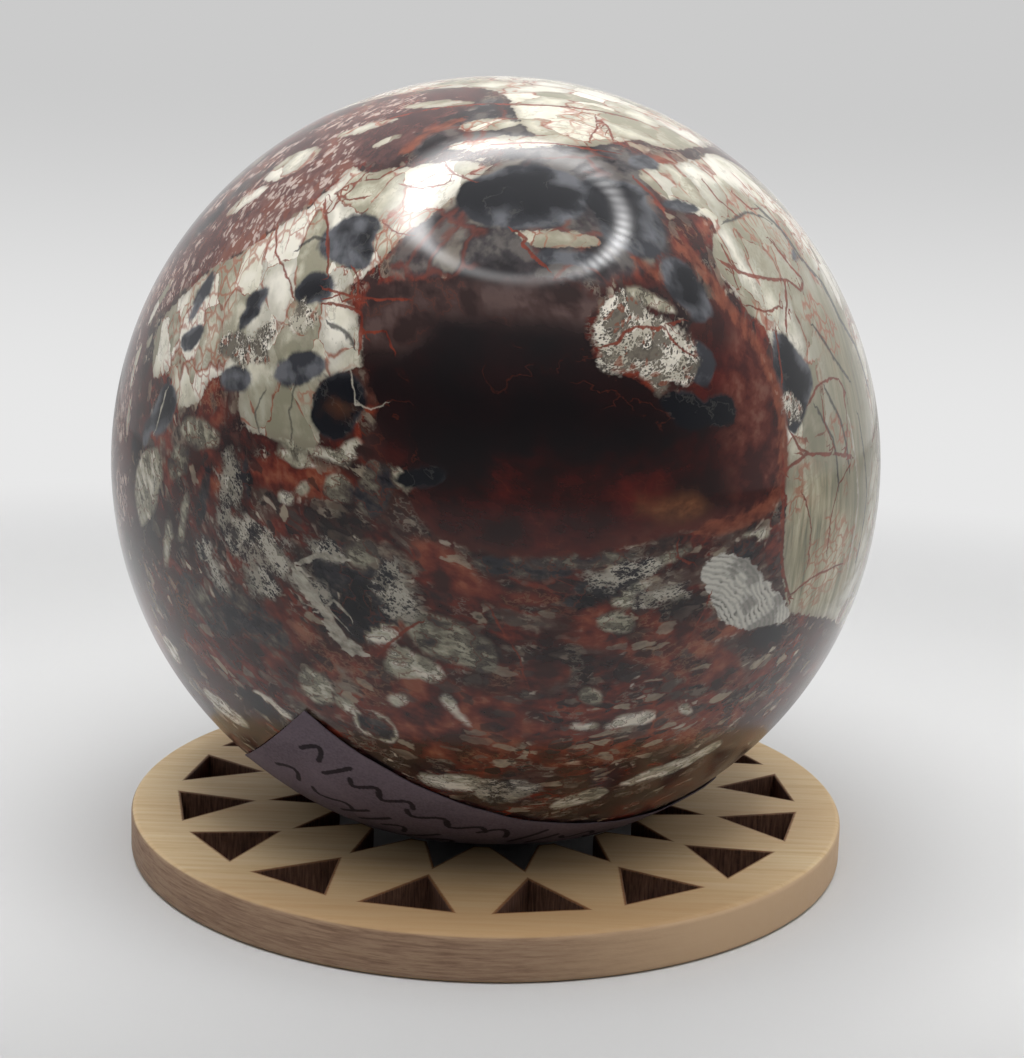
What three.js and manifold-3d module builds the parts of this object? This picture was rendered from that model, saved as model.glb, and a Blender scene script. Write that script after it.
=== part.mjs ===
// A polished stone ball resting on a round, laser-cut wooden stand.
// Millimetres, +Z up. The origin is the centre of the stand's underside.

import * as THREE from 'three';
import { mergeVertices } from 'three/addons/utils/BufferGeometryUtils.js';
import Module from 'manifold-3d';

// ---- driving dimensions -------------------------------------------------------------------------

const BALL_DIAMETER = 100;        // a four-inch polished sphere
const STAND_DIAMETER = 95.5;      // a little narrower than the ball
const STAND_THICKNESS = 5.5;
const RIM_ROUNDING = 0.7;         // sanded edge around the stand's rim

const CUTOUT_COUNT = 17;          // triangles around the stand, points inward
const CUTOUT_OUTER_RADIUS = 41.6; // where each triangle's base lies
const CUTOUT_TIP_RADIUS = 32.4;   // where its point lies
const CUTOUT_BASE_WIDTH = 10.4;

const NOTCH_TIP_RADIUS = 29.4;    // points of the notches around the middle hole
const SEAT_RADIUS = 22;           // the ball rests on the ends of the spokes here
const SPOKE_END_WIDTH = 2.2;      // what is left of each spoke between two notches

const REST_GAP = 0.3;             // clearance kept between touching pieces

const LABEL_WIDTH = 25;           // paper strip, measured along the ball
const LABEL_LENGTH = 62;
const LABEL_THICKNESS = 0.35;
const LABEL_CORNER = { azimuth: -25.6, elevation: -27.2 };  // its upper left corner, in degrees
const LABEL_POLE = { azimuth: 41.2, elevation: 37.2 };      // its upper edge is this pole's great circle
const LABEL_LOWEST_ELEVATION = -61.5;                       // trimmed here, clear of the seat

const BALL_SEGMENTS = 72;
const RIM_SEGMENTS = 136;
const ROUNDING_STEPS = 3;
const LABEL_STEPS_ALONG = 36;
const LABEL_STEPS_ACROSS = 10;
const WELD_TOLERANCE = 1e-4;      // vertices closer than this are one

// ---- values that follow -------------------------------------------------------------------------

const BALL_RADIUS = BALL_DIAMETER / 2;
const STAND_RADIUS = STAND_DIAMETER / 2;
const SEAT_DISTANCE = BALL_RADIUS + REST_GAP;
const BALL_CENTRE_HEIGHT = STAND_THICKNESS + Math.sqrt(SEAT_DISTANCE ** 2 - SEAT_RADIUS ** 2);
const CUTOUT_PITCH = 2 * Math.PI / CUTOUT_COUNT;
const FRONT = -Math.PI / 2;       // -Y is the front, and a spoke points that way

// ---- materials ----------------------------------------------------------------------------------

const redJasper = new THREE.MeshStandardMaterial({ color: '#6e2f27', roughness: 0.12, metalness: 0 });
const paleWood = new THREE.MeshStandardMaterial({ color: '#c9ab7c', roughness: 0.72, metalness: 0 });
const lilacPaper = new THREE.MeshStandardMaterial({ color: '#8d80a0', roughness: 0.85, metalness: 0 });

// ---- helpers ------------------------------------------------------------------------------------

const wasm = await Module();
wasm.setup();

// A geometry with one vertex for each place, ready to be cut or exported.
function weld(geometry) {
  const bare = geometry.clone();
  bare.deleteAttribute('normal');
  bare.deleteAttribute('uv');
  return mergeVertices(bare, WELD_TOLERANCE);
}

function toSolid(geometry) {
  const welded = weld(geometry);
  return new wasm.Manifold(new wasm.Mesh({
    numProp: 3,
    vertProperties: new Float32Array(welded.attributes.position.array),
    triVerts: new Uint32Array(welded.index.array),
  }));
}

function toGeometry(solid) {
  const mesh = solid.getMesh();
  const geometry = new THREE.BufferGeometry();
  geometry.setAttribute('position', new THREE.BufferAttribute(new Float32Array(mesh.vertProperties), 3));
  geometry.setIndex(new THREE.BufferAttribute(new Uint32Array(mesh.triVerts), 1));
  geometry.computeVertexNormals();
  return geometry;
}

function onPlan(radius, angle) {
  return new THREE.Vector2(radius * Math.cos(angle), radius * Math.sin(angle));
}

// Azimuth 0 faces the front and grows towards +X.
function direction({ azimuth, elevation }) {
  const turn = THREE.MathUtils.degToRad(azimuth);
  const lift = THREE.MathUtils.degToRad(elevation);
  return new THREE.Vector3(
    Math.sin(turn) * Math.cos(lift),
    -Math.cos(turn) * Math.cos(lift),
    Math.sin(lift),
  );
}

// ---- the ball -----------------------------------------------------------------------------------

function makeBall() {
  const geometry = new THREE.SphereGeometry(BALL_RADIUS, BALL_SEGMENTS, BALL_SEGMENTS / 2);
  geometry.rotateX(Math.PI / 2);
  const ball = new THREE.Mesh(weld(geometry), redJasper);
  ball.name = 'stone_sphere';
  ball.position.z = BALL_CENTRE_HEIGHT;
  return ball;
}

// ---- the stand ----------------------------------------------------------------------------------

// The blank disc, turned about the axis, with its rim eased above and below.
function standBlank() {
  const profile = [new THREE.Vector2(0, 0)];
  const inner = STAND_RADIUS - RIM_ROUNDING;
  for (const [height, start] of [[RIM_ROUNDING, FRONT], [STAND_THICKNESS - RIM_ROUNDING, 0]]) {
    for (let step = 0; step <= ROUNDING_STEPS; step += 1) {
      const corner = onPlan(RIM_ROUNDING, start + (Math.PI / 2) * (step / ROUNDING_STEPS));
      profile.push(new THREE.Vector2(inner + corner.x, height + corner.y));
    }
  }
  profile.push(new THREE.Vector2(0, STAND_THICKNESS));
  const geometry = new THREE.LatheGeometry(profile, RIM_SEGMENTS);
  geometry.rotateX(Math.PI / 2);
  return toSolid(geometry);
}

// A straight cutter with the given plan outline, running past both faces of the stand.
function cutter(outline) {
  const overrun = STAND_THICKNESS / 2;
  const geometry = new THREE.ExtrudeGeometry(new THREE.Shape(outline), {
    depth: STAND_THICKNESS + 2 * overrun,
    bevelEnabled: false,
  });
  geometry.translate(0, 0, -overrun);
  return toSolid(geometry);
}

function triangleOutline(angle) {
  const spread = Math.asin(CUTOUT_BASE_WIDTH / 2 / CUTOUT_OUTER_RADIUS);
  return [
    onPlan(CUTOUT_TIP_RADIUS, angle),
    onPlan(CUTOUT_OUTER_RADIUS, angle - spread),
    onPlan(CUTOUT_OUTER_RADIUS, angle + spread),
  ];
}

// The middle hole: a ring of notches, each pointing at the tip of one triangle.
function middleHoleOutline() {
  const halfEnd = Math.asin(SPOKE_END_WIDTH / 2 / SEAT_RADIUS);
  const outline = [];
  for (let index = 0; index < CUTOUT_COUNT; index += 1) {
    const notch = FRONT + (index + 0.5) * CUTOUT_PITCH;
    const spoke = notch + CUTOUT_PITCH / 2;
    outline.push(onPlan(NOTCH_TIP_RADIUS, notch));
    outline.push(onPlan(SEAT_RADIUS, spoke - halfEnd));
    outline.push(onPlan(SEAT_RADIUS, spoke + halfEnd));
  }
  return outline;
}

function makeStand() {
  let solid = standBlank().subtract(cutter(middleHoleOutline()));
  for (let index = 0; index < CUTOUT_COUNT; index += 1) {
    const angle = FRONT + (index + 0.5) * CUTOUT_PITCH;
    solid = solid.subtract(cutter(triangleOutline(angle)));
  }
  const stand = new THREE.Mesh(toGeometry(solid), paleWood);
  stand.name = 'wooden_stand';
  return stand;
}

// ---- the label ----------------------------------------------------------------------------------

// Two directions in the plane of the label's upper edge: its left end, and a quarter turn along it.
function labelFrame() {
  const pole = direction(LABEL_POLE);
  const start = direction(LABEL_CORNER).projectOnPlane(pole).normalize();
  const along = new THREE.Vector3().crossVectors(pole, start);
  return { pole, start, along };
}

// How far below the upper edge the paper reaches, as an angle: its width, or less where it would
// come down to the trimming height.
function labelReach(edge, pole) {
  const full = LABEL_WIDTH / BALL_RADIUS;
  const floor = Math.sin(THREE.MathUtils.degToRad(LABEL_LOWEST_ELEVATION));
  const size = Math.hypot(edge.z, pole.z);
  if (size <= -floor) {
    return full;
  }
  const trimmed = Math.acos(floor / size) - Math.atan2(pole.z, edge.z);
  return Math.min(full, trimmed);
}

// The paper as a grid on a sphere of the given radius.
function labelLayer(radius) {
  const { pole, start, along } = labelFrame();
  const points = [];
  for (let column = 0; column <= LABEL_STEPS_ALONG; column += 1) {
    const turn = (LABEL_LENGTH / BALL_RADIUS) * (column / LABEL_STEPS_ALONG);
    const edge = start.clone().multiplyScalar(Math.cos(turn)).addScaledVector(along, Math.sin(turn));
    const reach = labelReach(edge, pole);
    for (let row = 0; row <= LABEL_STEPS_ACROSS; row += 1) {
      const drop = reach * (row / LABEL_STEPS_ACROSS);
      const point = edge.clone().multiplyScalar(Math.cos(drop)).addScaledVector(pole, -Math.sin(drop));
      points.push(point.multiplyScalar(radius));
    }
  }
  return points;
}

// A closed slab between two layers of the grid.
function makeLabel() {
  const inner = BALL_RADIUS + REST_GAP;
  const layers = [labelLayer(inner), labelLayer(inner + LABEL_THICKNESS)];
  const perLayer = layers[0].length;
  const rows = LABEL_STEPS_ACROSS + 1;
  const at = (layer, column, row) => layer * perLayer + column * rows + row;
  const faces = [];
  const quad = (a, b, c, d) => faces.push(a, b, c, a, c, d);
  for (let column = 0; column < LABEL_STEPS_ALONG; column += 1) {
    for (let row = 0; row < LABEL_STEPS_ACROSS; row += 1) {
      quad(at(1, column, row), at(1, column, row + 1), at(1, column + 1, row + 1), at(1, column + 1, row));
      quad(at(0, column, row), at(0, column + 1, row), at(0, column + 1, row + 1), at(0, column, row + 1));
    }
    const last = LABEL_STEPS_ACROSS;
    quad(at(0, column, 0), at(1, column, 0), at(1, column + 1, 0), at(0, column + 1, 0));
    quad(at(0, column, last), at(0, column + 1, last), at(1, column + 1, last), at(1, column, last));
  }
  for (let row = 0; row < LABEL_STEPS_ACROSS; row += 1) {
    const last = LABEL_STEPS_ALONG;
    quad(at(0, 0, row), at(0, 0, row + 1), at(1, 0, row + 1), at(1, 0, row));
    quad(at(0, last, row), at(1, last, row), at(1, last, row + 1), at(0, last, row + 1));
  }
  const geometry = new THREE.BufferGeometry().setFromPoints(layers.flat());
  geometry.setIndex(faces);
  geometry.computeVertexNormals();
  const label = new THREE.Mesh(geometry, lilacPaper);
  label.name = 'paper_label';
  label.position.z = BALL_CENTRE_HEIGHT;
  return label;
}

// ---- the whole ornament -------------------------------------------------------------------------

const ornament = new THREE.Group();
ornament.add(makeStand(), makeBall(), makeLabel());

export default ornament;
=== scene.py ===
"""A polished ball of brecciated jasper on a round laser-cut wooden stand, with a paper label.

Metres in Blender. Sizes along the stone's surface are in millimetres, and places on it are
(azimuth, elevation) in degrees: azimuth 0 is the front and grows towards +X.
"""

import math

import bpy
import numpy as np
from mathutils import Matrix, Vector, noise
from mathutils.geometry import tessellate_polygon


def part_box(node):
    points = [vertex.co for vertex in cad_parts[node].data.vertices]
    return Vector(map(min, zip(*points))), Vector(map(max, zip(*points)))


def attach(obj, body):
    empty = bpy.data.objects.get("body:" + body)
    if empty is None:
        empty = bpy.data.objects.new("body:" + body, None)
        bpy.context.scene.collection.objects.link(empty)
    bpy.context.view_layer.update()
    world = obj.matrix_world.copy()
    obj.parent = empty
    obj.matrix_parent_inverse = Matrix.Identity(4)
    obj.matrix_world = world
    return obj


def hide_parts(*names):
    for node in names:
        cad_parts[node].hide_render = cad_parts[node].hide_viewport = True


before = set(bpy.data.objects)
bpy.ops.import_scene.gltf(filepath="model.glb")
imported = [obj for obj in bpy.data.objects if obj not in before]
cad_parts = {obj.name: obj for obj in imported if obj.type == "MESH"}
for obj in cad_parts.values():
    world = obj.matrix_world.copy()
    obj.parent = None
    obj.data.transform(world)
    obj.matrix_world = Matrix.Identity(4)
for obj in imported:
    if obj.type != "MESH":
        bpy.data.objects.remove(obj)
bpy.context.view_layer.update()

MM = 0.001

# ---- sizes taken from the frame -------------------------------------------------------------

ball_low, ball_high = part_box("stone_sphere")
BALL_CENTRE = (ball_low + ball_high) / 2
BALL_RADIUS = (ball_high.z - ball_low.z) / 2
RADIUS_MM = BALL_RADIUS / MM

stand_low, stand_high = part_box("wooden_stand")
STAND_RADIUS = (stand_high.x - stand_low.x) / 2
STAND_THICKNESS = stand_high.z - stand_low.z

# ---- small helpers --------------------------------------------------------------------------


def paint(code):
    """A linear colour from a #rrggbb code."""
    parts = [int(code[i : i + 2], 16) / 255 for i in (1, 3, 5)]
    linear = [p / 12.92 if p <= 0.04045 else ((p + 0.055) / 1.055) ** 2.4 for p in parts]
    return (*linear, 1.0)


def smooth(low, high, value):
    """0 below low, 1 above high, eased between."""
    t = np.clip((value - low) / (high - low), 0, 1)
    return t * t * (3 - 2 * t)


def new_object(name, data):
    obj = bpy.data.objects.new(name, data)
    bpy.context.scene.collection.objects.link(obj)
    return obj


def put_attribute(mesh, name, values):
    """A number or a vector for each vertex, for the materials to read."""
    values = np.asarray(values, dtype=np.float32)
    kind, field = ("FLOAT", "value") if values.ndim == 1 else ("FLOAT_VECTOR", "vector")
    mesh.attributes.new(name, kind, "POINT").data.foreach_set(field, values.ravel())


# ---- places on the ball ---------------------------------------------------------------------

FAR = 12.0              # no distance field runs further than this, in millimetres
VEIN_REACH = 4.0        # and none to a vein further than this
WANDER_SEED = 11
WANDER_WAVES = (7, 12, 20, 33)      # how often the shift of drawn edges swings around the ball
WANDER_AMOUNT = 0.011               # and how far, in ball radii


def unit(azimuth, elevation):
    """The unit vector from the ball's centre to a place on it."""
    turn, lift = np.radians(azimuth), np.radians(elevation)
    return np.array([np.sin(turn) * np.cos(lift), -np.cos(turn) * np.cos(lift), np.sin(lift)]).T


def flatten(points, centre):
    """Unit vectors as flat places around the centre: millimetres east and north of it."""
    east = np.cross([0, 0, 1], centre)
    east = east / np.linalg.norm(east) if np.linalg.norm(east) > 1e-6 else np.array([1.0, 0, 0])
    north = np.cross(centre, east)
    reach = np.arccos(np.clip(points @ centre, -1, 1))
    flat = np.stack([points @ east, points @ north], -1)
    length = np.maximum(np.linalg.norm(flat, axis=-1, keepdims=True), 1e-9)
    return flat / length * reach[..., None] * RADIUS_MM


def laid_flat(corners):
    """(azimuth, elevation) corners as flat places around their middle, and that middle."""
    directions = unit(*np.array(corners, float).T)
    centre = directions.mean(0) / np.linalg.norm(directions.mean(0))
    return flatten(directions, centre), centre


def turned(flat, tilt):
    """Flat places seen along an axis tilted anticlockwise from east by so many degrees."""
    c, s = math.cos(math.radians(tilt)), math.sin(math.radians(tilt))
    return flat @ np.array([[c, -s], [s, c]])


def rounded(corners, steps=5):
    """A closed outline through the corners, eased between them."""
    corners = np.asarray(corners, float)
    before, after, beyond = (np.roll(corners, k, 0) for k in (1, -1, -2))
    rows = []
    for t in np.arange(steps) / steps:
        rows.append(
            0.5 * (2 * corners + (after - before) * t
                   + (2 * before - 5 * corners + 4 * after - beyond) * t ** 2
                   + (3 * corners - before - 3 * after + beyond) * t ** 3)
        )
    return np.stack(rows, 1).reshape(-1, 2)


def path_gap(places, start, end):
    """For each place, its distance from the path, and on which side of it the place lies."""
    step = end - start
    away = places[:, None] - start[None]
    share = np.clip((away * step).sum(-1) / np.maximum((step * step).sum(-1), 1e-12), 0, 1)
    gap = away - share[..., None] * step
    distance = np.linalg.norm(gap, axis=-1)
    nearest = distance.argmin(1)
    rows = np.arange(len(places))
    side = step[nearest, 0] * away[rows, nearest, 1] - step[nearest, 1] * away[rows, nearest, 0]
    return distance[rows, nearest], np.sign(side)


def wander(points):
    """A small smooth shift of every place, so that no drawn edge is perfectly even."""
    rng = np.random.default_rng(WANDER_SEED)
    shift = np.zeros_like(points)
    for wave in WANDER_WAVES:
        turn = rng.normal(size=(3, 3)) * wave / 1.7
        phase = rng.uniform(0, 2 * np.pi, 3)
        shift += np.sin(points @ turn + phase) * WANDER_AMOUNT * WANDER_WAVES[0] / wave
    return shift


class Surface:
    """The stone's surface as many places, on which distances to drawn shapes are worked out."""

    def __init__(self, points):
        self.points = points + wander(points)
        self.points /= np.linalg.norm(self.points, axis=1, keepdims=True)

    def near(self, centre, reach):
        """Which places lie within so many millimetres of a centre."""
        return np.nonzero(self.points @ centre > math.cos(min(reach / RADIUS_MM, math.pi)))[0]

    def outline(self, corners):
        """Signed distance to an outline of (azimuth, elevation) corners, negative inside."""
        flat, centre = laid_flat(corners)
        flat = rounded(flat)
        which = self.near(centre, np.linalg.norm(flat, axis=1).max() + FAR)
        places = flatten(self.points[which], centre)
        start, end = flat, np.roll(flat, -1, 0)
        distance, _ = path_gap(places, start, end)
        x, y = places[:, :1], places[:, 1:]
        spans = (start[:, 1] <= y) != (end[:, 1] <= y)
        rise = np.where(end[:, 1] == start[:, 1], 1e-9, end[:, 1] - start[:, 1])
        crossing = start[:, 0] + (y - start[:, 1]) / rise * (end[:, 0] - start[:, 0])
        inside = (spans & (crossing > x)).sum(1) % 2 == 1
        return which, np.where(inside, -distance, distance)

    def lens(self, azimuth, elevation, length, width, tilt):
        """Signed distance to an ellipse of that size, tilted from level by so many degrees."""
        centre = unit(azimuth, elevation)
        half = np.array([length, width]) / 2
        which = self.near(centre, half.max() + FAR)
        flat = turned(flatten(self.points[which], centre), tilt)
        reach = np.linalg.norm(flat / half, axis=1)
        slope = np.maximum(np.linalg.norm(flat / half ** 2, axis=1), 1e-6)
        return which, np.maximum(reach * (reach - 1) / slope, -half.min())

    def shape(self, drawn):
        """A lens where five numbers are given, an outline where corners are."""
        return self.lens(*drawn) if np.isscalar(drawn[0]) else self.outline(drawn)

    def union(self, shapes):
        """The signed distance to the nearest of several shapes."""
        field = np.full(len(self.points), FAR)
        for drawn in shapes:
            which, distance = self.shape(drawn)
            field[which] = np.minimum(field[which], distance)
        return np.clip(field, -FAR, FAR)

    def veins(self, lines):
        """For each place: signed distance across the nearest vein, its distance, half its width.

        The sign changes across the vein, so the value passes evenly through zero on it.
        """
        field = np.tile([FAR, FAR, 0.1], (len(self.points), 1))
        for width, corners in lines:
            flat, centre = laid_flat(corners)
            which = self.near(centre, np.linalg.norm(flat, axis=1).max() + VEIN_REACH)
            places = flatten(self.points[which], centre)
            distance, side = path_gap(places, flat[:-1], flat[1:])
            closer = distance < field[which, 1]
            which, distance, side = which[closer], distance[closer], side[closer]
            half = np.full(len(which), width / 2)
            field[which] = np.stack([distance * side, distance, half], 1)
        return field


# ---- how the stone is patterned -------------------------------------------------------------
# A shape is either a lens (azimuth, elevation, length, width, tilt) or the corners of an outline.

CREAM = [
    [(-56, 22), (-50, 27.5), (-46.5, 30), (-41, 32.3), (-36.5, 36), (-33, 39.5), (-30.5, 43),
     (-28.5, 47), (-24, 46.5), (-16, 48), (-8, 49), (-2, 48), (-4.5, 45), (-8.5, 41),
     (-12, 37.5), (-15, 33), (-17.5, 30), (-21, 27), (-18, 24.5), (-15.5, 22), (-15, 18.5),
     (-18, 17), (-21, 15.5), (-22, 13.5), (-20.5, 10), (-21, 7.8), (-26, 8.7), (-31, 9.5),
     (-33, 12), (-33.5, 14.5), (-36, 16), (-39, 15.5), (-40, 13), (-43, 11.5), (-46, 12),
     (-49, 16), (-52.5, 14.5), (-55, 17)],
    [(27.5, 46.5), (29, 45), (30.5, 43.3), (33, 41.5), (38.5, 39.3), (36.5, 35.5), (36, 32.8),
     (37.5, 30), (39, 27.5), (41, 25), (42, 22), (41.8, 15), (41.6, 8), (41, 2), (41.5, -5),
     (43.8, -12.3), (48.5, -14), (60, -17), (75, -21), (92, -12), (96, 8), (92, 28), (84, 42),
     (70, 50), (58, 53), (48, 51), (38, 49.5), (32, 48.8)],
    [(-60, 64), (-46, 67), (-26, 70), (-8, 70), (2, 65), (5, 58), (9, 53.6), (15, 52.6),
     (25, 53.4), (33, 54), (40, 52.5), (60, 55), (90, 60), (125, 62), (165, 66), (-160, 66),
     (-120, 62), (-80, 60)],
    [(3.5, 37.6), (8, 38), (15, 37.2), (15, 35.7), (8, 35.6), (5, 36.2)], (-60, 25, 7, 1.6, 72),
    (-61.5, 15, 6, 1.5, 86), (-60, 7.6, 5, 1.2, 95), (-58, 19, 3, 1.2, 80), (-3, 57, 7, 3, 10),
    (1, 52.6, 12, 2.4, 4), (-20, 63, 8, 2.2, 10), (-34, 56, 8, 2, 30), (-46, 47.6, 7, 5, 40),
    (-50, 41, 6, 2.6, 40), (-24.6, 52.6, 3, 1.1, 40),
    [(118, 30), (126, 38), (140, 42), (152, 37), (165, 37), (176, 28), (184, 18), (172, 11),
     (160, 15), (148, 8), (136, 13), (124, 15), (114, 22)],
    [(-122, 8), (-130, 13), (-142, 3), (-152, -3), (-163, -14), (-168, -25), (-158, -31),
     (-148, -23), (-138, -22), (-131, -11), (-120, -5)],
    [(98, -30), (106, -24), (118, -26), (130, -21), (142, -26), (146, -34), (134, -39),
     (122, -35), (110, -41), (100, -37)],
]
MAROON = [
    [(-72, 22), (-62, 22), (-56.5, 24), (-50, 29), (-46.5, 30.5), (-40.5, 33), (-36, 36.5),
     (-33, 40), (-31, 43.5), (-29.5, 47.5), (-24, 48), (-19, 50), (-17, 55), (-12, 60), (-6, 66),
     (-16, 69), (-32, 67.5), (-46, 63), (-56, 56), (-64, 46), (-72, 32)],
    [(-80, 26), (-62, 23), (-58, 14), (-57, 5), (-61, -6), (-70, -12), (-84, -4), (-88, 12)],
    (-125, 38, 44, 9, -35), (170, 4, 50, 8, 14),
]
SAGE = [
    [(-34, 15), (-30, 17), (-25, 19), (-20.5, 17), (-20.5, 13), (-20.5, 9), (-26, 8), (-32, 9.5),
     (-35, 12)],
    [(40, 44), (52, 46), (62, 40), (70, 20), (66, -2), (52, 2), (46, 12), (48, 24), (42, 33)],
]
SMOKE = [
    [(-15, 33), (-12, 38), (-8.5, 41), (-5, 46), (2, 50), (10, 53), (20, 53), (30, 51.5),
     (29, 46), (29, 40), (28, 35), (25.5, 33.5), (14, 30.5), (0, 30.5), (-12, 30)],
    [(-17, 50), (-8, 51), (2, 51), (9, 53), (6, 58), (2, 64), (-6, 66), (-12, 60), (-17, 55)],
    (-56, 43.5, 9, 3, 45), (-60, 37, 8, 2.6, 50),
]
SLATE = [
    [(-27.5, 34), (-26.5, 36.8), (-23.5, 38.6), (-20, 39), (-17.5, 38), (-17.3, 34.6),
     (-17.5, 31.2), (-20, 30.7), (-25, 31.8)],
    (-25.3, 27.5, 4.8, 3.9, 0), (-34.6, 25, 5.4, 2.3, 65), (-46.6, 25.7, 6.2, 2, 82),
    (-45.6, 20.8, 4.2, 2.8, 40), (-34.5, 15.8, 5.2, 2.7, -5), (-24.8, 17, 7, 3.2, 10),
    (-18.4, 12.9, 6.2, 7.2, 0), (-48.6, 10.4, 7.2, 5, 60), (-52, 6.6, 3.6, 2, 70),
    [(-6.5, 42), (-5, 45.5), (0, 47.5), (8, 47.8), (14.5, 46.5), (15.5, 42), (12, 39), (5, 38.3),
     (-2, 38.8)],
    [(15.8, 45.5), (26, 45), (27.6, 42), (28, 36.5), (25, 34.2), (21, 34.5), (17, 36.2),
     (16, 40)],
    (10.6, 34, 6.2, 2, -3),
    [(26, 33.6), (29, 33.5), (31, 31), (32.2, 28.5), (32, 26.8), (30, 25.7), (27.6, 26.6),
     (25.8, 29.3), (25, 31.3)],
    [(43.5, 24.3), (46, 23), (49, 20.5), (49.5, 17.5), (48, 15), (44.5, 11.8), (43, 11.6),
     (41.4, 14), (41.3, 17.3), (41.6, 20.5), (42.5, 23.5)],
    (25.5, 15, 5.6, 3.8, -20), (30.5, 14.8, 5, 3.6, 10), (28, 20.5, 3.4, 4.6, 0),
    (30.5, 49.2, 4.5, 2.6, 0), (34, 41.6, 4.5, 1.5, -10), (-7.2, 4.7, 5.2, 2.3, 8),
    (58, 34.5, 2.2, 1.2, 40), (160, 20, 9, 5, 30), (138, 32, 7, 4, -30), (168, 36, 6, 3, 0),
    (145, 14, 8, 3, 60), (-150, -8, 8, 4, 40), (-135, -18, 6, 5, 0), (118, -30, 9, 4, 10),
    (100, 6, 9, 4, 75), (88, 22, 7, 3, 60), (178, 30, 6, 4, 0), (105, 66, 8, 4, 0),
    (-100, 70, 7, 5, 0),
]
CORE = [
    (3.5, 43.4, 15, 5.6, 0), (21, 41, 8, 8, -20), (29, 29.6, 4, 5, -30), (-18.4, 12.9, 7, 8, 0),
    (-48.6, 10.4, 6, 3.8, 60), (45, 18, 5, 9, 0), (-7.2, 4.7, 7, 4, 8), (25.5, 15, 7, 5, -20),
    (30.5, 14.8, 7, 5, 10), (-19, 35.4, 2.4, 5, 10), (-24, 36.4, 3, 1.6, 30),
    (-34.6, 25, 4.4, 1.3, 65), (-25.3, 27.5, 3.6, 2.4, 0), (160, 20, 6, 3, 30),
    (-150, -8, 5, 2, 40), (118, -30, 6, 2, 10),
]
DARK = [
    [(-16, 18.5), (-17, 21), (-17.5, 25), (-16.5, 28), (-12, 29.5), (0, 31), (10, 31.2),
     (14, 30), (14.6, 28), (12.6, 25.5), (12.8, 22), (15, 19.5), (19, 18.8), (22, 17), (26, 18),
     (27.6, 21), (27.4, 24.5), (29, 25.8), (33, 29), (36.5, 25.3), (39.5, 21.5), (40.8, 17),
     (41, 10), (40.4, 4), (37.5, 2), (33, 0.5), (30, -0.3), (22, -0.9), (18.5, -2.3), (10, -3.6),
     (0, -3.8), (-6, -2), (-9, 1.5), (-8.5, 4), (-12, 6.3), (-15.5, 6.8), (-14, 9.5),
     (-13.3, 13), (-15, 16)],
    [(-88, -4), (-84, 10), (-90, 24), (-102, 32), (-116, 34), (-129, 26), (-130, 14), (-121, 2),
     (-116, -8), (-102, -12)],
    [(152, -18), (162, -12), (176, -9), (190, -14), (202, -20), (200, -30), (188, -35),
     (174, -39), (160, -34), (150, -27)],
]
SOOT = [
    (3, 22, 34, 17, -4), (-4, 14, 22, 15, 0), (14, 13, 20, 9, 0), (24, 14.5, 14, 4, -8),
    (-7, 5, 8, 4, 0), (-108, 16, 30, 12, 60), (176, -20, 30, 9, -8),
]
EMBER = [
    (36.5, 7, 9, 13, -15), (33, 1.5, 12, 2.5, 10), (36, 16, 9, 18, -14), (22, -1, 10, 2, 8),
    (-95, -2, 20, 8, 40),
]
BROWN = [
    (-13.5, 24, 10, 9, 10), (-1, 28, 34, 6, 0), (-16, 8, 6, 7, 0), (20, 29.6, 14, 2.6, -6),
]
TAN = [
    (23.2, 2.6, 8.6, 3.2, 4), (-17.8, 12.6, 1.9, 0.6, -24),
]
RUST = [
    [(26.5, 41), (28.2, 38), (28.2, 34.6), (30, 34.2), (33, 34.5), (36, 36), (39.5, 38.8),
     (40.5, 40.5), (37, 40.2), (33, 40), (30.3, 41.3), (28.7, 44.3), (27, 45.5)],
    [(14, 34.5), (14.5, 31.4), (18, 30.3), (26, 31), (25.5, 33.6), (22.5, 34), (20, 33),
     (17, 33.2)],
    [(36, 37.6), (39.6, 39.4), (43, 41.4), (47.6, 41), (47, 39.6), (43, 38.6), (39.6, 36.6)],
    [(31.5, 50.5), (36, 51.5), (43, 50.5), (43.5, 48.2), (38, 47.6), (33, 48)],
    (-15.5, 55, 8, 3.2, 35), (-37.5, 12.5, 6.5, 3.6, -60), (-23, 4, 14, 4.6, -6),
    (23, -14.6, 24, 3.8, 0), (34, -12, 5, 3, 60), (8, -9.3, 13, 1.8, 0), (-6, -31.5, 12, 4.2, -4),
    (-26, -23.5, 12, 4, -38), (-11.5, -14.6, 6, 2.4, 42), (-15, -19.5, 14, 2.4, -18),
    (2, -27, 12, 3, -10), (-38, 4, 8, 5, -30), (-45, -12, 8, 5, -60),
    [(-14, -16), (-4, -21), (4, -23), (5, -31), (-8, -33.5), (-15, -27), (-18, -20)],
    [(14, -9), (24, -12), (36, -18), (40, -24), (30, -22), (20, -18), (10, -13)],
    (38, -30, 12, 4, 20), (-2, -8, 8, 3, -20), (6, -20, 9, 3, 10), (-30, -18, 9, 4, -50),
    (-46, -20, 10, 3, -50), (-24, -16, 12, 4, -50), (53.5, -36, 7, 3, 40),
    (-5, -5.5, 9, 4.4, -30), (45, 36, 6, 2, -15), (20, -34, 15, 1.4, 8), (-60, 12, 3, 12, 0),
]
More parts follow.
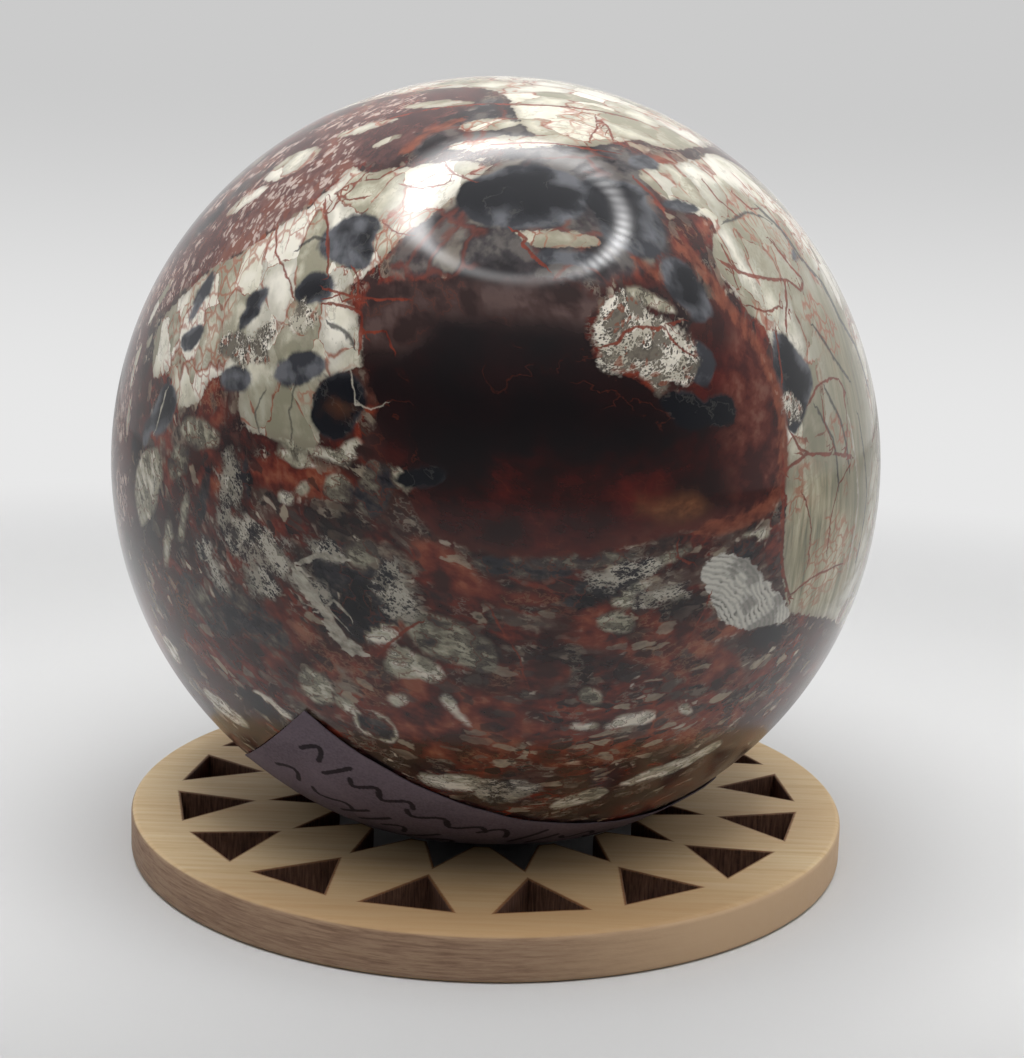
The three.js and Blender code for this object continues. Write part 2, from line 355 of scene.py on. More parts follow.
LACE = [
    [(12.6, 25), (13.6, 27.4), (15.3, 28.7), (18.3, 29.4), (20.2, 28.4), (21.6, 27),
     (25.2, 25.6), (26.8, 24), (27.5, 21.3), (26, 18.5), (23.6, 18), (21.8, 17.1), (18.8, 19.2),
     (14.8, 19.7), (13.3, 22.3)],
    (-34.2, 19.3, 7.4, 3, -12), (-26.3, 23.2, 3.8, 3.4, 20), (-31.2, 21.8, 3, 2.4, 50),
    (43.4, 14.8, 2.6, 4.2, 70), (155, 8, 12, 8, 20), (-160, 34, 10, 5, 30),
]
GRIT = [
    (-29.6, -4.4, 11.5, 4.6, -22), (-29, -8.6, 4.4, 4.2, 0), (-10.6, -9.2, 7.6, 4.4, -66),
    (-19.5, -4.6, 4.6, 2.2, -20), (-36.5, -8, 6.5, 2.6, -55), (-33.6, 2.6, 6.6, 4, 78),
    (17, -5.6, 9, 2.4, 14), (22, -8.6, 7, 2.6, 10), (3.4, -40, 8, 4, 0), (-22, -9, 5, 3, -40),
    (-128, 2, 10, 6, -30), (110, 40, 9, 6, 0),
]
FAN = [
    [(28, -4.8), (28.2, -7.4), (30.2, -10.8), (32.5, -13.3), (36, -14.3), (40, -14.4),
     (44.3, -14.5), (44.6, -12.8), (42.3, -10.6), (39.8, -8.3), (36.4, -5.6), (32.5, -3.8),
     (30, -3)],
]

# Each piece also has a tone: 0 is black, 0.5 grey-brown, 1 white.
PIECES = [
    (0.1, (-38, 0.6, 6.5, 1.9, 80)), (0.08, (-30.6, 3.4, 5, 1.3, 100)),
    (0.12, (-15.5, -9.6, 12.5, 8.6, -50)), (0, (-16.4, -10.8, 3.9, 3.5, 0)),
    (0.95, (-12.8, -14.9, 3.9, 1.7, 15)), (0.5, (-15, -4.8, 3.4, 3.1, 0)),
    (0.8, [(-12.6, -17), (-11.8, -20.3), (-7, -20.8), (-5.5, -19.6), (-8.5, -17.6),
           (-10.5, -16.3)]),
    (0.55, [(-10, -11.5), (-4, -12.5), (1, -16), (1, -19), (-4, -18.5), (-8.5, -16)]),
    (0.62, (-17.8, 3.1, 2.9, 3.4, 60)), (0.36, (-13.2, 3.2, 6.6, 3.8, 72)),
    (0.74, (-9.4, 4.9, 2.2, 3, 20)), (0.76, (-23.4, 6.2, 5.6, 1.2, -14)),
    (0.7, (-22.2, 2.7, 2.2, 1.7, 40)), (0.95, (-24.6, 1.5, 1.8, 1, 0)),
    (0.78, [(-29, 9.7), (-24, 8.8), (-19.5, 7.6), (-15.8, 6.3), (-16.4, 5.6), (-20, 6.4),
            (-25, 8)]),
    (0.82, (-16, 7.4, 2.7, 1.7, 32)), (0.62, (-39.5, 8.4, 7, 3, -8)),
    (0.76, [(-55.5, 0), (-53, 4), (-48.5, 5), (-47, 1.5), (-50, -3), (-54, -5.5)]),
    (0.06, (-56, 4.6, 4.2, 1.8, 12)), (0.55, (-43.5, 4.2, 4, 3.2, 75)),
    (0.6, (-42, -2.4, 6, 1.6, 74)), (0.74, (-46.5, -6.5, 5.2, 1.5, 68)),
    (0.3, (-32, -13.6, 11, 5, -28)), (0.34, (-40, -13, 9, 4, -40)),
    (0.97, (-32.6, -27.2, 5.4, 1.9, -38)), (0.08, (-35.6, -27.4, 6.4, 2.6, -34)),
    (0.86, (-55, -24, 3.6, 4, -60)), (0.88, (-46, -31.3, 7, 4, -34)),
    (0.68, (-23.6, -22.4, 4.6, 4.4, -50)), (0.78, (-19.3, -25.5, 4.6, 1.9, -50)),
    (0.9, (-16.4, -28, 5.2, 4, -32)), (0.2, (-16.4, -28, 3.6, 2.5, -32)),
    (0.9, (-12, -23.6, 2.1, 1.5, 10)), (0.94, (-3.6, -25.4, 5.4, 1.1, -50)),
    (0.86, (-4.4, -38.6, 9, 3, -9)), (0.97, (21.4, -27.3, 5.6, 1.9, 9)),
    (0.86, (14, -27.4, 2.9, 1.5, -10)), (0.62, (14.4, -22.6, 3, 2, -20)),
    (0.88, (34, -38, 13, 2.4, 24)), (0.76, (18, -43.4, 7, 3.4, 20)),
    (0.62, (3.4, -40.4, 7, 4, 0)), (0.82, (30.3, -26.2, 2.7, 1.3, -34)),
    (0.68, (15.8, -12.2, 4.6, 2.3, -4)), (0.1, (13.4, -7.6, 5.6, 2.3, 12)),
    (0.84, (19.4, -7.4, 4.8, 1, 18)), (0.62, (22.4, -3.9, 6.2, 1.3, 22)),
    (0.1, (11, -9.4, 3.4, 1.7, 0)), (0.78, (17, -9.4, 3, 1.3, 6)),
    (0.84, (35.6, -1.4, 4.6, 1.6, 18)), (0.3, (33.6, -3.2, 4.2, 2.2, 20)),
    (0.3, (4, -5.4, 11, 2.2, -2)), (0.42, (12, -4.2, 12, 1.7, 6)),
    (0, [(38.8, -14.9), (45.4, -15), (44.6, -17.4), (39.6, -17.6)]),
    (0.98, (37, 6.2, 1.7, 1.5, 40)), (0.72, (9, 1.1, 2.5, 1.8, 30)),
    (0.5, (12.4, -1.6, 1.9, 1.2, 0)), (0.95, (34.2, 3.4, 1.9, 0.6, 55)),
    (0.8, (4.6, 17.6, 1.5, 0.5, 40)), (0.9, (-2.4, 9, 1.6, 0.45, 65)),
    (0.34, (-53.6, 49, 6, 1.6, 40)), (0.7, (22.6, 28.4, 6, 1.4, -26)),
    (0.62, (51.5, 32, 6, 3.6, -25)),
]

# Veins: width in millimetres and the places they run through.
RED_VEINS = [
    (0.34, [(-24, 27.6), (-19, 26.7), (-15, 26.6), (-11, 27)]),
    (0.5, [(-23, 25.6), (-19.5, 25.2), (-17.3, 24.5), (-16.6, 20)]),
    (0.34, [(-16.6, 22), (-13.4, 22.4), (-12, 20)]),
    (0.42, [(-30, 40.5), (-27.4, 37), (-25.4, 33), (-24.4, 30)]),
    (0.26, [(-36.4, 36), (-34.2, 32.5), (-30.5, 29), (-28.6, 26.5)]),
    (0.3, [(-25, 46), (-26, 43), (-27.6, 40.5), (-27.6, 39.4)]),
    (0.34, [(-18.5, 47.5), (-21.5, 45.5), (-25.4, 44.8), (-29.4, 42.2), (-25.6, 41.2),
            (-22.5, 42)]),
    (0.26, [(-16, 44.6), (-12.6, 44.2), (-9, 45), (-4, 47.4)]),
    (0.3, [(-10, 48.4), (-7.6, 46.5), (-4.8, 45.6)]),
    (0.24, [(-17, 38), (-14.4, 36.6), (-12.4, 36.4)]),
    (0.34, [(-20, 30.6), (-18.8, 29), (-18.4, 26.8)]),
    (0.4, [(14.4, 22.5), (16.6, 23.2), (17.4, 24.4), (19.5, 25.2), (22.4, 25), (26.4, 25.8)]),
    (0.3, [(23.8, 24.9), (25.2, 22.7), (26.8, 21.6)]),
    (0.5, [(3, 38), (5, 36.9), (4.2, 36.2), (5.8, 34.4), (7.6, 32.8)]),
    (0.5, [(37.4, 33.4), (41, 31.8), (46, 30.8), (51, 30.6), (54, 29.2)]),
    (0.46, [(50, 30.6), (48.4, 27.6), (47, 26), (46.4, 24.4)]),
    (0.3, [(39.6, 27.4), (43, 26.6), (46, 27.2), (48, 26.6)]),
    (0.34, [(43, 46), (43.6, 42.6), (46, 40.6)]), (0.34, [(50, 44), (52, 41.6), (55, 42)]),
    (0.5, [(52, 36.5), (54, 32.8), (56.5, 30.8), (55, 29.4)]),
    (0.34, [(43.6, 24), (43, 20.8), (42.6, 18)]),
    (0.34, [(47.6, 14.6), (50, 16.6), (54, 17.5), (57, 17.2), (58.6, 15.2)]),
    (0.26, [(51, 15), (50.6, 12), (52, 9)]), (0.3, [(58, 16.6), (57.2, 12), (55.6, 8)]),
    (0.44, [(43, 11.4), (44.6, 9.4), (46.6, 8.6), (50, 8.3), (57.6, 7.3)]),
    (0.4, [(40.6, 6.6), (43, 7.6), (46.4, 8.7)]),
    (0.62, [(40.8, 8), (40.4, 3), (40.8, -4), (42, -7.3), (43.8, -10.8)]),
    (0.3, [(43.8, -10.6), (46.6, -9), (50, -7.8), (56, -7.3)]),
    (0.26, [(51.4, -5), (51.4, 0), (53, 4), (57, 6.4)]),
    (0.24, [(44.6, 3.4), (46.6, -1), (47, -6)]),
    (0.7, [(26.6, 45.6), (28.6, 43.4), (29.6, 41.4)]),
    (0.34, [(39, 30), (39.4, 33), (38.8, 35.6)]),
    (0.26, [(23.8, -1.8), (24, -3.6), (26.4, -4.6)]),
    (0.16, [(29.4, -9), (28.4, -12), (26.4, -16)]),
    (0.2, [(0, -10.6), (2.2, -14), (4.6, -17), (5.4, -21)]),
    (0.36, [(-8, -13), (-11, -15), (-13.4, -17)]), (0.3, [(20, 54), (24, 57), (26, 60)]),
    (0.4, [(26.4, 54.6), (27.6, 57), (26.6, 59)]),
    (0.5, [(-30, 58), (-10, 63), (15, 63), (40, 60)]), (0.3, [(-2, 52), (12, 52.5), (25, 51)]),
    (0.4, [(150, 38), (158, 28), (150, 18), (140, 12)]),
    (0.34, [(130, 24), (150, 27), (172, 24)]), (0.5, [(-150, 2), (-142, -10), (-132, -20)]),
    (0.5, [(75, 44), (84, 30), (80, 12), (88, -6)]),
]
PALE_VEINS = [
    (0.12, [(-17.6, 17.4), (-16.6, 15.4), (-15.8, 12.8)]),
    (0.07, [(-15.4, 13), (-13.8, 12.4), (-12.4, 12.9)]),
    (1.7, [(-23.4, -8), (-21.6, -10.6), (-20, -13.6), (-18.4, -16), (-16.4, -16.9)]),
    (0.24, [(-48.6, 13), (-49, 10), (-49.6, 7.6)]),
    (0.3, [(-21.4, -12), (-19, -10.6), (-17.4, -12.6)]),
    (0.7, [(-22.6, -6.2), (-20, -5.2), (-17.4, -5.6)]),
    (0.4, [(36, -36.4), (30, -38.6), (26, -40)]), (0.5, [(58, 12), (60, 2), (59, -8)]),
]
ARC_VEINS = [
    (1.5, [(30.6, 34.8), (33, 31.6), (35, 28.2), (37.4, 25), (39.6, 21.6), (41, 17), (41.2, 12),
           (40.8, 7)]),
    (1.5, [(41, 9), (39.9, 4.6), (37.8, 2.4), (33.4, 0.8), (28, -0.2)]),
    (0.8, [(22, 33.4), (24, 32.2), (24.6, 31.2)]), (0.9, [(-19, 51), (-16.6, 54), (-11, 58)]),
]
DARK_VEINS = [
    (0.8, [(56, 42), (59, 38.5), (60, 34), (64, 30.5), (65, 25), (69, 21), (70, 15)]),
    (0.5, [(54, 24), (57, 20), (61, 17)]), (0.12, [(-29.6, 14), (-30.6, 11.6), (-29.6, 9.6)]),
    (0.5, [(-21.6, 22.8), (-19, 21.8), (-17.8, 20.4)]),
    (0.12, [(-25, 15), (-25.4, 12), (-24.6, 9)]),
    (0.5, [(-30.4, 33.4), (-28.6, 35), (-27, 34.6)]), (0.4, [(52.4, 16), (55, 12), (56.6, 6)]),
    (0.4, [(49.4, 14), (52, 10), (53, 4)]), (0.4, [(54.6, 40.6), (50, 41), (46, 39.6), (42, 39)]),
    (0.34, [(62, 12), (64, 2), (63, -8)]),
]

# Each region's shapes, and each kind of vein with the share of its drawn width that is kept.
REGIONS = {
    "cream": CREAM, "maroon": MAROON, "sage": SAGE, "smoke": SMOKE, "slate": SLATE, "core": CORE,
    "dark": DARK, "soot": SOOT, "ember": EMBER, "brown": BROWN, "tan": TAN, "rust": RUST,
    "lace": LACE, "grit": GRIT, "fan": FAN,
}
VEINS = {
    "red_vein": (0.75, RED_VEINS), "pale_vein": (0.8, PALE_VEINS),
    "arc_vein": (1.0, ARC_VEINS), "dark_vein": (0.8, DARK_VEINS),
}
LAYERED = [(52, -4, 26, 26, 0), (60, 16, 16, 26, 0)]    # where the cream lies in upright layers
LAYERED_EDGE = (2, -6)      # it turns into layers between these distances from that place's edge
FAN_ROOT = (27, -17)        # the fan's layers lie in rings about this place
UPRIGHT_STRETCH = 0.1       # the upright layers are drawn out to ten times their width

# The stone's layers and pieces lie in rings about this place, and are drawn out along them.
FLOW_CENTRE = (12, 30)
FLOW_ALONG = 0.5
FLOW_ACROSS = 0.6

# Cloudy noises: how far across their blobs are in millimetres, and how many noises make them up.
CLOUDS = {"broad_cloud": (9.0, 3), "small_cloud": (3.0, 4)}
CLOUD_SWING = 0.36
CLOUD_FINER = 2.0       # each noise is so much finer than the last
CLOUD_FADE = 0.9        # and fades by this power of that


def flowing(points):
    """Places in millimetres, drawn out along rings about the flow's centre.

    Patterns worked out from these lie along the rings, as the layers and pieces of the stone do.
    """
    centre = unit(*FLOW_CENTRE)
    radial = np.arccos(np.clip(points @ centre, -1, 1)) * RADIUS_MM
    return points * RADIUS_MM * FLOW_ALONG - radial[:, None] * FLOW_ACROSS * centre


def piece_fields(surface):
    """Signed distance to the nearest broken piece, and that piece's tone, for every place."""
    distance, tone = np.full(len(surface.points), FAR), np.full(len(surface.points), 0.5)
    for shade, drawn in PIECES:
        which, gap = surface.shape(drawn)
        closer = (gap < distance[which]) | (gap < 0.3)
        distance[which[closer]], tone[which[closer]] = gap[closer], shade
    return np.clip(distance, -FAR, FAR), tone


def cloudiness(place, size, octaves):
    """Cloudy noise about 0.5 at a place in millimetres, its blobs about `size` across."""
    swing = noise.fractal(Vector(place) / size, CLOUD_FADE, CLOUD_FINER, octaves,
                          noise_basis="PERLIN_ORIGINAL")
    return 0.5 + CLOUD_SWING * swing


def strata(points):
    """For the fine layers: millimetres from the fan's root, and places drawn out upwards."""
    root = np.linalg.norm(flatten(points, unit(*FAN_ROOT)), axis=1)
    around = np.arctan2(points[:, 0], -points[:, 1]) * RADIUS_MM
    height = points[:, 2] * RADIUS_MM * UPRIGHT_STRETCH
    return root, np.stack([around, height, np.zeros(len(points))], 1)


# ---- materials: a small way of writing node trees -------------------------------------------


class Graph:
    """Writes shader nodes. Inputs are numbers, colours or other nodes' outputs."""

    def __init__(self, tree):
        self.tree = tree

    def node(self, kind, output=0, settings=None, **inputs):
        made = self.tree.nodes.new(kind)
        for name, value in (settings or {}).items():
            setattr(made, name, value)
        for name, value in inputs.items():
            self.feed(made.inputs[name.replace("_", " ")], value)
        return made.outputs[output]

    def feed(self, socket, value):
        """Links or sets a socket. A #rrggbb code is a colour."""
        if isinstance(value, bpy.types.NodeSocket):
            self.tree.links.new(value, socket)
        elif value is not None:
            socket.default_value = paint(value) if isinstance(value, str) else value

    def math(self, operation, *values):
        made = self.tree.nodes.new("ShaderNodeMath")
        made.operation = operation
        for socket, value in zip(made.inputs, values):
            self.feed(socket, value)
        return made.outputs[0]

    def add(self, first, second):
        return self.math("ADD", first, second)

    def minus(self, first, second):
        return self.math("SUBTRACT", first, second)

    def times(self, *values):
        """The product of two values or more."""
        product = values[0]
        for value in values[1:]:
            product = self.math("MULTIPLY", product, value)
        return product

    def blend(self, first, share, second, other_share):
        """The sum of two values, each times its share."""
        return self.add(self.times(first, share), self.times(second, other_share))

    def vector(self, operation, first, second):
        made = self.tree.nodes.new("ShaderNodeVectorMath")
        made.operation = operation
        self.feed(made.inputs[0], first)
        self.feed(made.inputs["Scale"] if operation == "SCALE" else made.inputs[1], second)
        return made.outputs["Value" if operation == "LENGTH" else "Vector"]

    def ease(self, value, start, end, low=0.0, high=1.0):
        """Eases from low at start to high at end. start may lie above end."""
        made = self.tree.nodes.new("ShaderNodeMapRange")
        made.interpolation_type = "SMOOTHSTEP"
        names = ("Value", "From Min", "From Max", "To Min", "To Max")
        for name, number in zip(names, (value, start, end, low, high)):
            self.feed(made.inputs[name], number)
        return made.outputs["Result"]

    def mix(self, factor, first, second):
        """The first colour where the factor is 0, the second where it is 1."""
        made = self.tree.nodes.new("ShaderNodeMix")
        made.data_type = "RGBA"
        self.feed(made.inputs["Factor"], factor)
        self.feed(made.inputs[6], first)
        self.feed(made.inputs[7], second)
        return made.outputs[2]

    def noise(self, place, size, detail, roughness):
        """Cloudy noise whose blobs are about `size` millimetres across."""
        return self.node("ShaderNodeTexNoise", "Fac", Vector=place, Scale=1 / size, Detail=detail,
                         Roughness=roughness)

    def cells(self, place, size):
        """Broken cells: three random numbers for each, and the millimetres to its edge."""
        tone = self.node("ShaderNodeTexVoronoi", "Color", Vector=place, Scale=1 / size)
        gap = self.node("ShaderNodeTexVoronoi", "Distance", {"feature": "DISTANCE_TO_EDGE"},
                        Vector=place, Scale=1 / size)
        return self.split(tone), self.times(gap, size)

    def ramp(self, factor, *stops):
        made = self.tree.nodes.new("ShaderNodeValToRGB")
        elements = made.color_ramp.elements
        for element, (place, _) in zip(elements, stops):
            element.position = place
        for place, _ in stops[len(elements):]:
            elements.new(place)
        for element, (place, code) in zip(elements, stops):
            element.position, element.color = place, paint(code)
        self.feed(made.inputs[0], factor)
        return made.outputs[0]

    def grey(self, level):
        return self.node("ShaderNodeCombineColor", 0, Red=level, Green=level, Blue=level)

    def bump(self, height, strength, distance):
        return self.node("ShaderNodeBump", 0, Strength=strength, Distance=distance, Height=height)

    def attribute(self, name, output="Fac"):
        return self.node("ShaderNodeAttribute", output, {"attribute_name": name})

    def split(self, vector):
        made = self.tree.nodes.new("ShaderNodeSeparateXYZ")
        self.feed(made.inputs[0], vector)
        return made.outputs

    def group(self, tree, output, **inputs):
        made = self.tree.nodes.new("ShaderNodeGroup")
        made.node_tree = tree
        for name, value in inputs.items():
            self.feed(made.inputs[name.replace("_", " ")], value)
        return made.outputs[output]


def new_group(name, inputs, outputs):
    """A shader node group with named sockets: gives it, its graph, its inputs and its outputs.

    Inputs are (name, default), where a default of three numbers or none makes a vector socket.
    Outputs are (name, socket type).
    """
    tree = bpy.data.node_groups.new(name, "ShaderNodeTree")
    for label, value in inputs:
        kind = "NodeSocketFloat" if isinstance(value, float) else "NodeSocketVector"
        socket = tree.interface.new_socket(label, in_out="INPUT", socket_type=kind)
        if value is not None:
            socket.default_value = value
    for label, kind in outputs:
        tree.interface.new_socket(label, in_out="OUTPUT", socket_type=kind)
    entry = tree.nodes.new("NodeGroupInput").outputs
    return tree, Graph(tree), entry, tree.nodes.new("NodeGroupOutput").inputs


def warped_place():
    """Group: a place pushed about by noise, so that what is drawn there runs unevenly."""
    tree, g, given, made = new_group(
        "Warped place",
        [("Place", None), ("Size", 4.0), ("Amount", 1.0)],
        [("Place", "NodeSocketVector")],
    )
    scale = g.math("DIVIDE", 1.0, given["Size"])
    cloud = g.node("ShaderNodeTexNoise", "Color", Vector=given["Place"], Scale=scale, Detail=3.0)
    push = g.vector("SCALE", g.vector("SUBTRACT", cloud, (0.5, 0.5, 0.5)), given["Amount"])
    g.feed(made["Place"], g.vector("ADD", given["Place"], push))
    return tree


VEIN_LEAST = 0.02    # no vein is thinner to each side than this, in millimetres


def vein_line():
    """Group: where a drawn vein shows, from its attribute, with an uneven width."""
    tree, g, given, made = new_group(
        "Vein line",
        [("Vein", None), ("Rough", 0.0), ("Softness", 0.12)],
        [("Mask", "NodeSocketFloat")],
    )
    across, distance, half = g.split(given["Vein"])
    half = g.math("MAXIMUM", g.add(half, g.times(given["Rough"], half)), VEIN_LEAST)
    edge = g.math("ABSOLUTE", g.add(across, g.times(given["Rough"], 0.35)))
    line = g.ease(g.minus(edge, half), given["Softness"], g.times(given["Softness"], -0.6))
    near = g.ease(g.minus(distance, half), 0.9, 0.5)
    g.feed(made["Mask"], g.times(line, near))
    return tree


def drawn_out_grain():
    """Group: the grain of wood or paper, noise drawn out where the stretch is small."""
    tree, g, given, made = new_group(
        "Drawn-out grain",
        [("Place", None), ("Stretch", (1.0, 1.0, 1.0)), ("Size", 1.0), ("Detail", 3.0),
         ("Roughness", 0.55)],
        [("Grain", "NodeSocketFloat")],
    )
    place = g.vector("MULTIPLY", given["Place"], given["Stretch"])
    scale = g.math("DIVIDE", 1.0, given["Size"])
    grain = g.node("ShaderNodeTexNoise", "Fac", Vector=place, Scale=scale, Detail=given["Detail"],
                   Roughness=given["Roughness"])
    g.feed(made["Grain"], grain)
    return tree


WARP = warped_place()
VEIN = vein_line()
GRAIN = drawn_out_grain()

BLACK = (0, 0, 0, 1)


def new_material(name):
    """A new material, its graph and its Principled shader."""
    material = bpy.data.materials.new(name)
    material.use_nodes = True
    tree = material.node_tree
    shader = next(n for n in tree.nodes if n.type == "BSDF_PRINCIPLED")
    return material, Graph(tree), shader


def grained(g, place, stretch, size, detail=3.0, roughness=0.55):
    """The grain of wood or paper at a place, from the shared group."""
    return g.group(GRAIN, "Grain", Place=place, Stretch=stretch, Size=size, Detail=detail,
                   Roughness=roughness)


def make_glow(g, shader, colour):
    """A surface that only glows, in one colour or in colours that change over it."""
    shader.inputs["Base Color"].default_value = BLACK
    shader.inputs["Specular IOR Level"].default_value = 0.0
    g.feed(shader.inputs["Emission Color"], colour)


def place_in_mm(g):
    spot = g.node("ShaderNodeTexCoord", "Object")
    return g.vector("SCALE", spot, 1 / MM)


# ---- the stone's material -------------------------------------------------------------------

FINE_SIZE = 0.9      # sizes of the blobs in the fine noises, in millimetres
GRIT_SIZE = 0.34
WARP_SIZE = 2.2      # the places that the stone's broken cells are worked out from are pushed about
WARP_AMOUNT = 2.0    # by a noise of this size and by up to this much
BLOCK_SIZE = 3.6     # how far apart the larger broken blocks of the stone lie
CHIP_SIZE = 1.15     # and the small chips between them
CRUMB_SIZE = 0.6     # and the crumbs between those
POLISH = (0.08, 0.11)    # the polish's least and greatest roughness
DULL_ABOVE = 40.0        # below this height the polish grows duller
DULL_BELOW = 20.0
DULLING = 0.16           # and is rougher by so much at the bottom
STONE_IOR = 1.5
PIT_STRENGTH = 0.12      # the pits between the flakes of lace
PIT_DEPTH = 0.00003


def stone_material():
    """The stone's layers, laid one over another, each in its drawn region."""
    material, g, shader = new_material("Polished brecciated jasper")
    flow = g.attribute("flow", "Vector")
    broad, cloud = g.attribute("broad_cloud"), g.attribute("small_cloud")
    fine = g.noise(flow, FINE_SIZE, 4.0, 0.6)
    grit = g.noise(flow, GRIT_SIZE, 3.0, 0.6)
    uneven, patchy = g.minus(fine, 0.5), g.minus(cloud, 0.5)
    ragged = g.blend(patchy, 2.6, uneven, 2.4)
    crisp = g.blend(patchy, 1.0, uneven, 1.8)
    eroded = g.blend(patchy, 1.8, uneven, 0.7)
    mottle = g.blend(broad, 0.5, fine, 0.5)
    bent = g.group(WARP, "Place", Place=flow, Size=WARP_SIZE, Amount=WARP_AMOUNT)
    block, block_gap = g.cells(bent, BLOCK_SIZE)
    chip, chip_gap = g.cells(bent, CHIP_SIZE)
    crumb, crumb_gap = g.cells(bent, CRUMB_SIZE)

    def reach(name, rough=ragged):
        """How far a place lies outside a drawn region, its edge roughened. Inside is negative."""
        return g.add(g.attribute(name), rough)

    def region(name, rough, soft):
        """1 inside the drawn region, 0 outside, its edge roughened and that soft."""
        return g.ease(reach(name, rough), soft, -soft)

    def over(amount, top, under, strength=1.0):
        """One finish laid over another, by an amount and a strength."""
        return g.mix(g.times(amount, strength), under, top)

    def shifted(value, amount, by=uneven):
        """A value moved up and down by a noise, which is the fine one unless another is given."""
        return g.add(value, g.times(by, amount))

    def vein(name, softness=0.1):
        return g.group(VEIN, "Mask", Vein=g.attribute(name, "Vector"), Rough=g.times(uneven, 2.2),
                       Softness=softness)

    thread = g.ease(g.math("ABSOLUTE", uneven), 0.045, 0.005)
    film = g.ease(g.math("ABSOLUTE", g.minus(shifted(cloud, 0.4), 0.5)), 0.022, 0.006)

    # The red-brown ground, packed with broken blocks, chips and crumbs.
    matrix = g.ramp(mottle, (0.36, "#211112"), (0.45, "#3b1a17"), (0.53, "#5b2219"),
                    (0.61, "#752f20"), (0.72, "#87462e"))
    blocks = g.ramp(shifted(shifted(block[1], 0.9), 0.6, patchy), (0.1, "#141214"),
                    (0.36, "#2b1e1c"), (0.6, "#472e27"), (0.82, "#54423b"), (1.05, "#7f7566"))
    block_edge = g.ease(shifted(shifted(block_gap, 1.2), 0.8, patchy), 0.05, 0.6)
    ground = over(g.times(g.ease(block[0], 0.46, 0.52), block_edge), blocks, matrix, 0.85)
    chips = g.ramp(shifted(chip[1], 0.5), (0.05, "#171416"), (0.4, "#2e2423"), (0.72, "#554840"),
                   (1.02, "#a0947f"))
    chip_there = g.times(g.ease(chip[0], 0.5, 0.54), g.ease(shifted(chip_gap, 0.4), 0.02, 0.14))
    ground = over(chip_there, chips, ground, g.ease(broad, 0.36, 0.56, 0.2, 0.85))
    crumbs = g.ramp(crumb[0], (0.0, "#161416"), (0.4, "#3c2a26"), (0.75, "#7c6f62"),
                    (1.0, "#bbb09e"))
    crumb_edge = g.ease(shifted(crumb_gap, 0.5), 0.03, 0.14)
    crumb_there = g.times(g.ease(crumb[1], 0.62, 0.66), crumb_edge)
    ground = over(crumb_there, crumbs, ground, g.ease(cloud, 0.44, 0.62, 0.1, 0.9))
    ground = over(g.times(thread, g.ease(cloud, 0.54, 0.66)), "#8f8778", ground, 0.35)

    # Rust-red clouds.
    rust = g.ramp(shifted(cloud, 0.5), (0.34, "#371611"), (0.47, "#592219"), (0.58, "#743223"),
                  (0.72, "#8e4e36"))
    rust = over(g.times(chip_there, g.ease(chip[2], 0.45, 0.5)), chips, rust, 0.7)
    rust = over(g.times(thread, g.ease(broad, 0.48, 0.56)), "#a8805f", rust, 0.3)
    colour = over(region("rust", ragged, 0.7), rust, ground, 0.9)

    # Larger broken pieces, each of its own tone.
    tone = shifted(shifted(g.attribute("tone"), 1.1), 0.5, patchy)
    pieces = g.ramp(tone, (0.0, "#101116"), (0.22, "#2b2b30"), (0.42, "#4d443e"),
                    (0.58, "#757061"), (0.76, "#a5a08c"), (0.98, "#ded7c8"))
    pieces = over(g.times(thread, g.ease(chip[2], 0.3, 0.5)), "#2b2523", pieces, 0.7)
    pieces = over(film, "#5f2c20", pieces, 0.6)
    colour = over(region("piece", eroded, 0.36), pieces, colour, 0.94)

    # Maroon bands with drawn-out pale specks.
    maroon = g.ramp(mottle, (0.36, "#3d2323"), (0.5, "#5a3733"), (0.64, "#745048"))
    stain = g.times(g.ease(chip[1], 0.6, 0.7), g.ease(broad, 0.5, 0.6))
    maroon = over(stain, "#84452c", maroon, 0.35)
    speck = g.times(g.ease(crumb[2], 0.3, 0.36), g.ease(shifted(crumb_gap, 0.9), 0.04, 0.15),
                    g.ease(shifted(broad, 0.6, patchy), 0.42, 0.56))
    maroon = over(speck, g.ramp(fine, (0.3, "#86675d"), (0.55, "#c4b2a7")), maroon, 0.75)
    colour = over(region("maroon", ragged, 0.3), maroon, colour)

    # Smoke: translucent slate-grey ground.
    smoke = g.ramp(shifted(cloud, 0.35), (0.36, "#211f22"), (0.5, "#3b383a"), (0.62, "#5d5855"))
    block_joint = g.times(g.ease(block_gap, 0.3, 0.0), g.ease(broad, 0.44, 0.54))
    smoke = over(block_joint, "#6d3a30", smoke, 0.7)
    pale_block = g.times(g.ease(block[1], 0.7, 0.76), g.ease(block_gap, 0.1, 0.5))
    smoke = over(pale_block, "#8d877b", smoke, 0.6)
    colour = over(region("smoke", ragged, 0.9), smoke, colour, 0.92)

